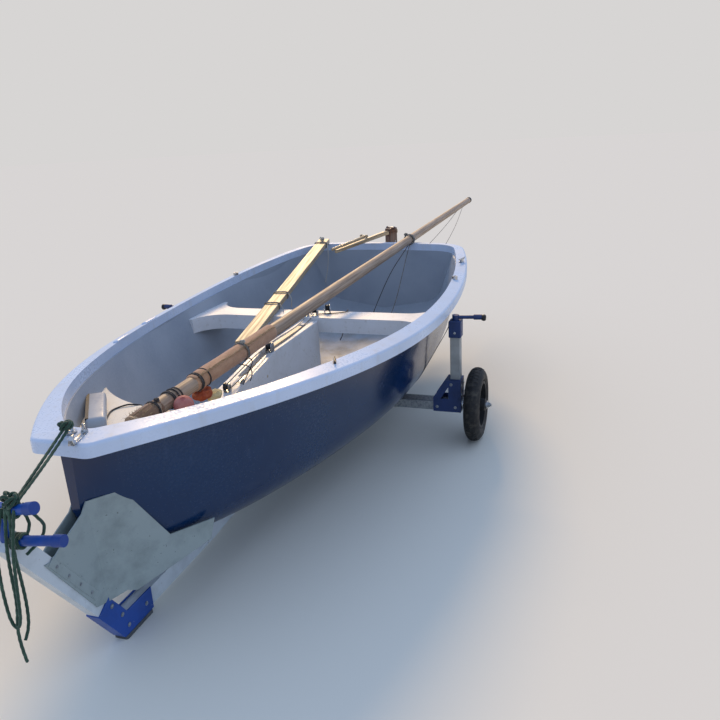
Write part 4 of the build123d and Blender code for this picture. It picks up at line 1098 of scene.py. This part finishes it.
# ---------------------------------------------------------------------------
# Cheek bands. A plain pressed strip on each cheek beside the front tube, bare
# of any lettering, under the row of bolts; its edges are rubbed bright.
# ---------------------------------------------------------------------------
tube_way = Vector((0.568, 0.0, 0.823))
for label, sign in sides:
    place, normal = surface(f"cradle_plate_{label}", at(-0.0540, sign * 0.5, 0.3440), (0, -sign, 0))
    band = block(f"cheek_band_{label}", 0.262, 0.030, 0.0030, 0.0)
    pick(band)
    inset(0.0025)
    pull(0, 0, -0.0008)
    finish_piece(band, shade_darkened_plate_coat, stand(place, normal, tube_way),
                 edge=0.0004, segments=1)


# ---------------------------------------------------------------------------
# Tyres. Solid black rubber pressed on the moulded wheels: a round shouldered
# section with blocks cut across the crown, dusty where they touch the ground.
# ---------------------------------------------------------------------------
tread_rubber = start_finish("dusty tyre rubber", "#141516", 0.72)
two_tone(tread_rubber, patches(tread_rubber, 34.0, 5.0, 0.65), 0.45, 0.72, "#141516", "#4a463e")
relief(tread_rubber, patches(tread_rubber, 1.8, 2.0), 0.15, 0.6)
section_radius = 0.1490
crown_radius = 0.1745
block_degrees = 3.75


def on_crown(face):
    """Whether a face of the tyre is part of its running surface."""
    return math.hypot(face.center.x, face.center.z) > crown_radius


def tread_block(face):
    """Every second pitch round the crown, staggered from one shoulder to the other."""
    turn = math.degrees(math.atan2(face.center.z, face.center.x)) / block_degrees
    pitch = int(math.floor(turn + (0.5 if face.center.y > 0 else 0.0)))
    return on_crown(face) and abs(face.center.y) > 0.006 and pitch % 2 == 0


for label, sign in sides:
    bpy.ops.mesh.primitive_circle_add(
        vertices=20, radius=1.0, location=(0, 0, 0), rotation=(0, math.radians(90), 0))
    tyre = begin(f"tread_tyre_{label}")
    tyre.data.transform(
        Matrix.Translation((0, 0, section_radius)) @ Matrix.Diagonal((1.0, 0.0400, 0.0365, 1.0)))
    bpy.ops.object.mode_set(mode="EDIT")
    bpy.ops.mesh.select_all(action="SELECT")
    bpy.ops.mesh.spin(steps=96, angle=math.tau, center=(0, 0, 0), axis=(0, 1, 0))
    bpy.ops.mesh.select_all(action="SELECT")
    bpy.ops.mesh.remove_doubles(threshold=0.0002)
    bpy.ops.mesh.normals_make_consistent(inside=False)
    pick(tyre, on_crown)
    swell(-0.0001)
    pick(tyre, tread_block)
    inset(0.0008)
    swell(0.0024)
    finish_piece(tyre, tread_rubber, Matrix.Translation((axle_x, sign * 0.864, axle_height)),
                 f"wheel_{label}",
                 edge=0.0005, segments=1)
    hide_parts(f"tyre_{label}")


# ---------------------------------------------------------------------------
# Sling. Flat polyester webbing from post to post under the hull, woven in ribs,
# grey with silt where it bears; its ends are sewn over and hooked to the posts.
# ---------------------------------------------------------------------------
webbing = start_finish("grey woven webbing", "#3c4046", 0.85, Sheen_Weight=0.2)
two_tone(webbing, patches(webbing, 60.0, 5.0, 0.6), 0.42, 0.7, "#3c4046", "#6f6a60")
relief(webbing, weave(webbing, 1.8, 2.6, 0.3, 2.0, 1.0), 0.5, 0.8)
half_sling = [(0.7288, 0.6170), (0.7286, 0.6040), (0.7270, 0.5860), (0.6560, 0.4600), (0.5220, 0.2213),
              (0.2500, 0.2160)]
sling_route = rope_route([Vector((axle_x, -port, height)) for port, height in half_sling]
                         + [Vector((axle_x, 0.0, 0.2115))]
                         + [Vector((axle_x, port, height)) for port, height in half_sling[::-1]])
travelled = [0.0]
for first, second in zip(sling_route, sling_route[1:]):
    travelled.append(travelled[-1] + (second - first).length)
profile = [(x / 6 * 0.0148, 0.00115 * (1 if abs(x) < 6 else 0.4)) for x in range(-6, 7)]
profile += [(x, -t) for x, t in reversed(profile)]
sling_mesh = bmesh.new()
sling_rings = []
for i, point in enumerate(sling_route):
    way = (sling_route[min(i + 1, len(sling_route) - 1)] - sling_route[max(i - 1, 0)]).normalized()
    out = way.cross(Vector((1, 0, 0)))
    sling_rings.append([sling_mesh.verts.new(point + Vector((x, 0, 0)) + out * t) for x, t in profile])
bridge(sling_mesh, sling_rings, lambda row, column: (travelled[row], profile[column % len(profile)][0]))
bmesh.ops.recalc_face_normals(sling_mesh, faces=sling_mesh.faces)
sling = mesh_piece("sling_webbing", sling_mesh, webbing)
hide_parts("hull_sling")


# ---------------------------------------------------------------------------
# Knobs and bungs. Ball knobs of black plastic on the two cranks, and two drain
# bungs with a ribbed grip low in the transom.
# ---------------------------------------------------------------------------
def grip_rib(face):
    """Every second face round the bung's grip."""
    turn = int(round(math.degrees(math.atan2(face.center.y, face.center.x)) / 10 - 0.5))
    return abs(face.normal.z) < 0.1 and face.center.z > 0.005 and turn % 2 == 0


for label, sign in sides:
    knob = disc(f"crank_knob_{label}", 0.013, 0.008, 0.004, 32)
    pick(knob)
    taper(1.22, 1.22, 1.0)
    pull(0, 0, 0.008)
    pull(0, 0, 0.005)
    taper(0.72, 0.72, 1.0)
    place, _ = surface(f"lift_crank_{label}", Vector((axle_x, sign * 1.2, 0.642)), (0, -sign, 0))
    finish_piece(knob, black_moulding, stand(place - Vector((0, sign * 0.002, 0)), (0, sign, 0)), edge=0.0016,
                 segments=3)
    bung = disc(f"transom_bung_{label}", 0.024, 0.004, 0.0015, 36)
    pick(bung)
    inset(0.006)
    pull(0, 0, 0.008)
    inset(0.004)
    pull(0, 0, -0.004)
    pick(bung, grip_rib)
    swell(0.0012)
    place, normal = surface("hull_shell", Vector((-1.6, sign * 0.265, 0.470)), (1, 0, 0))
    finish_piece(bung, black_moulding, stand(place, normal), edge=0.0004, segments=1)
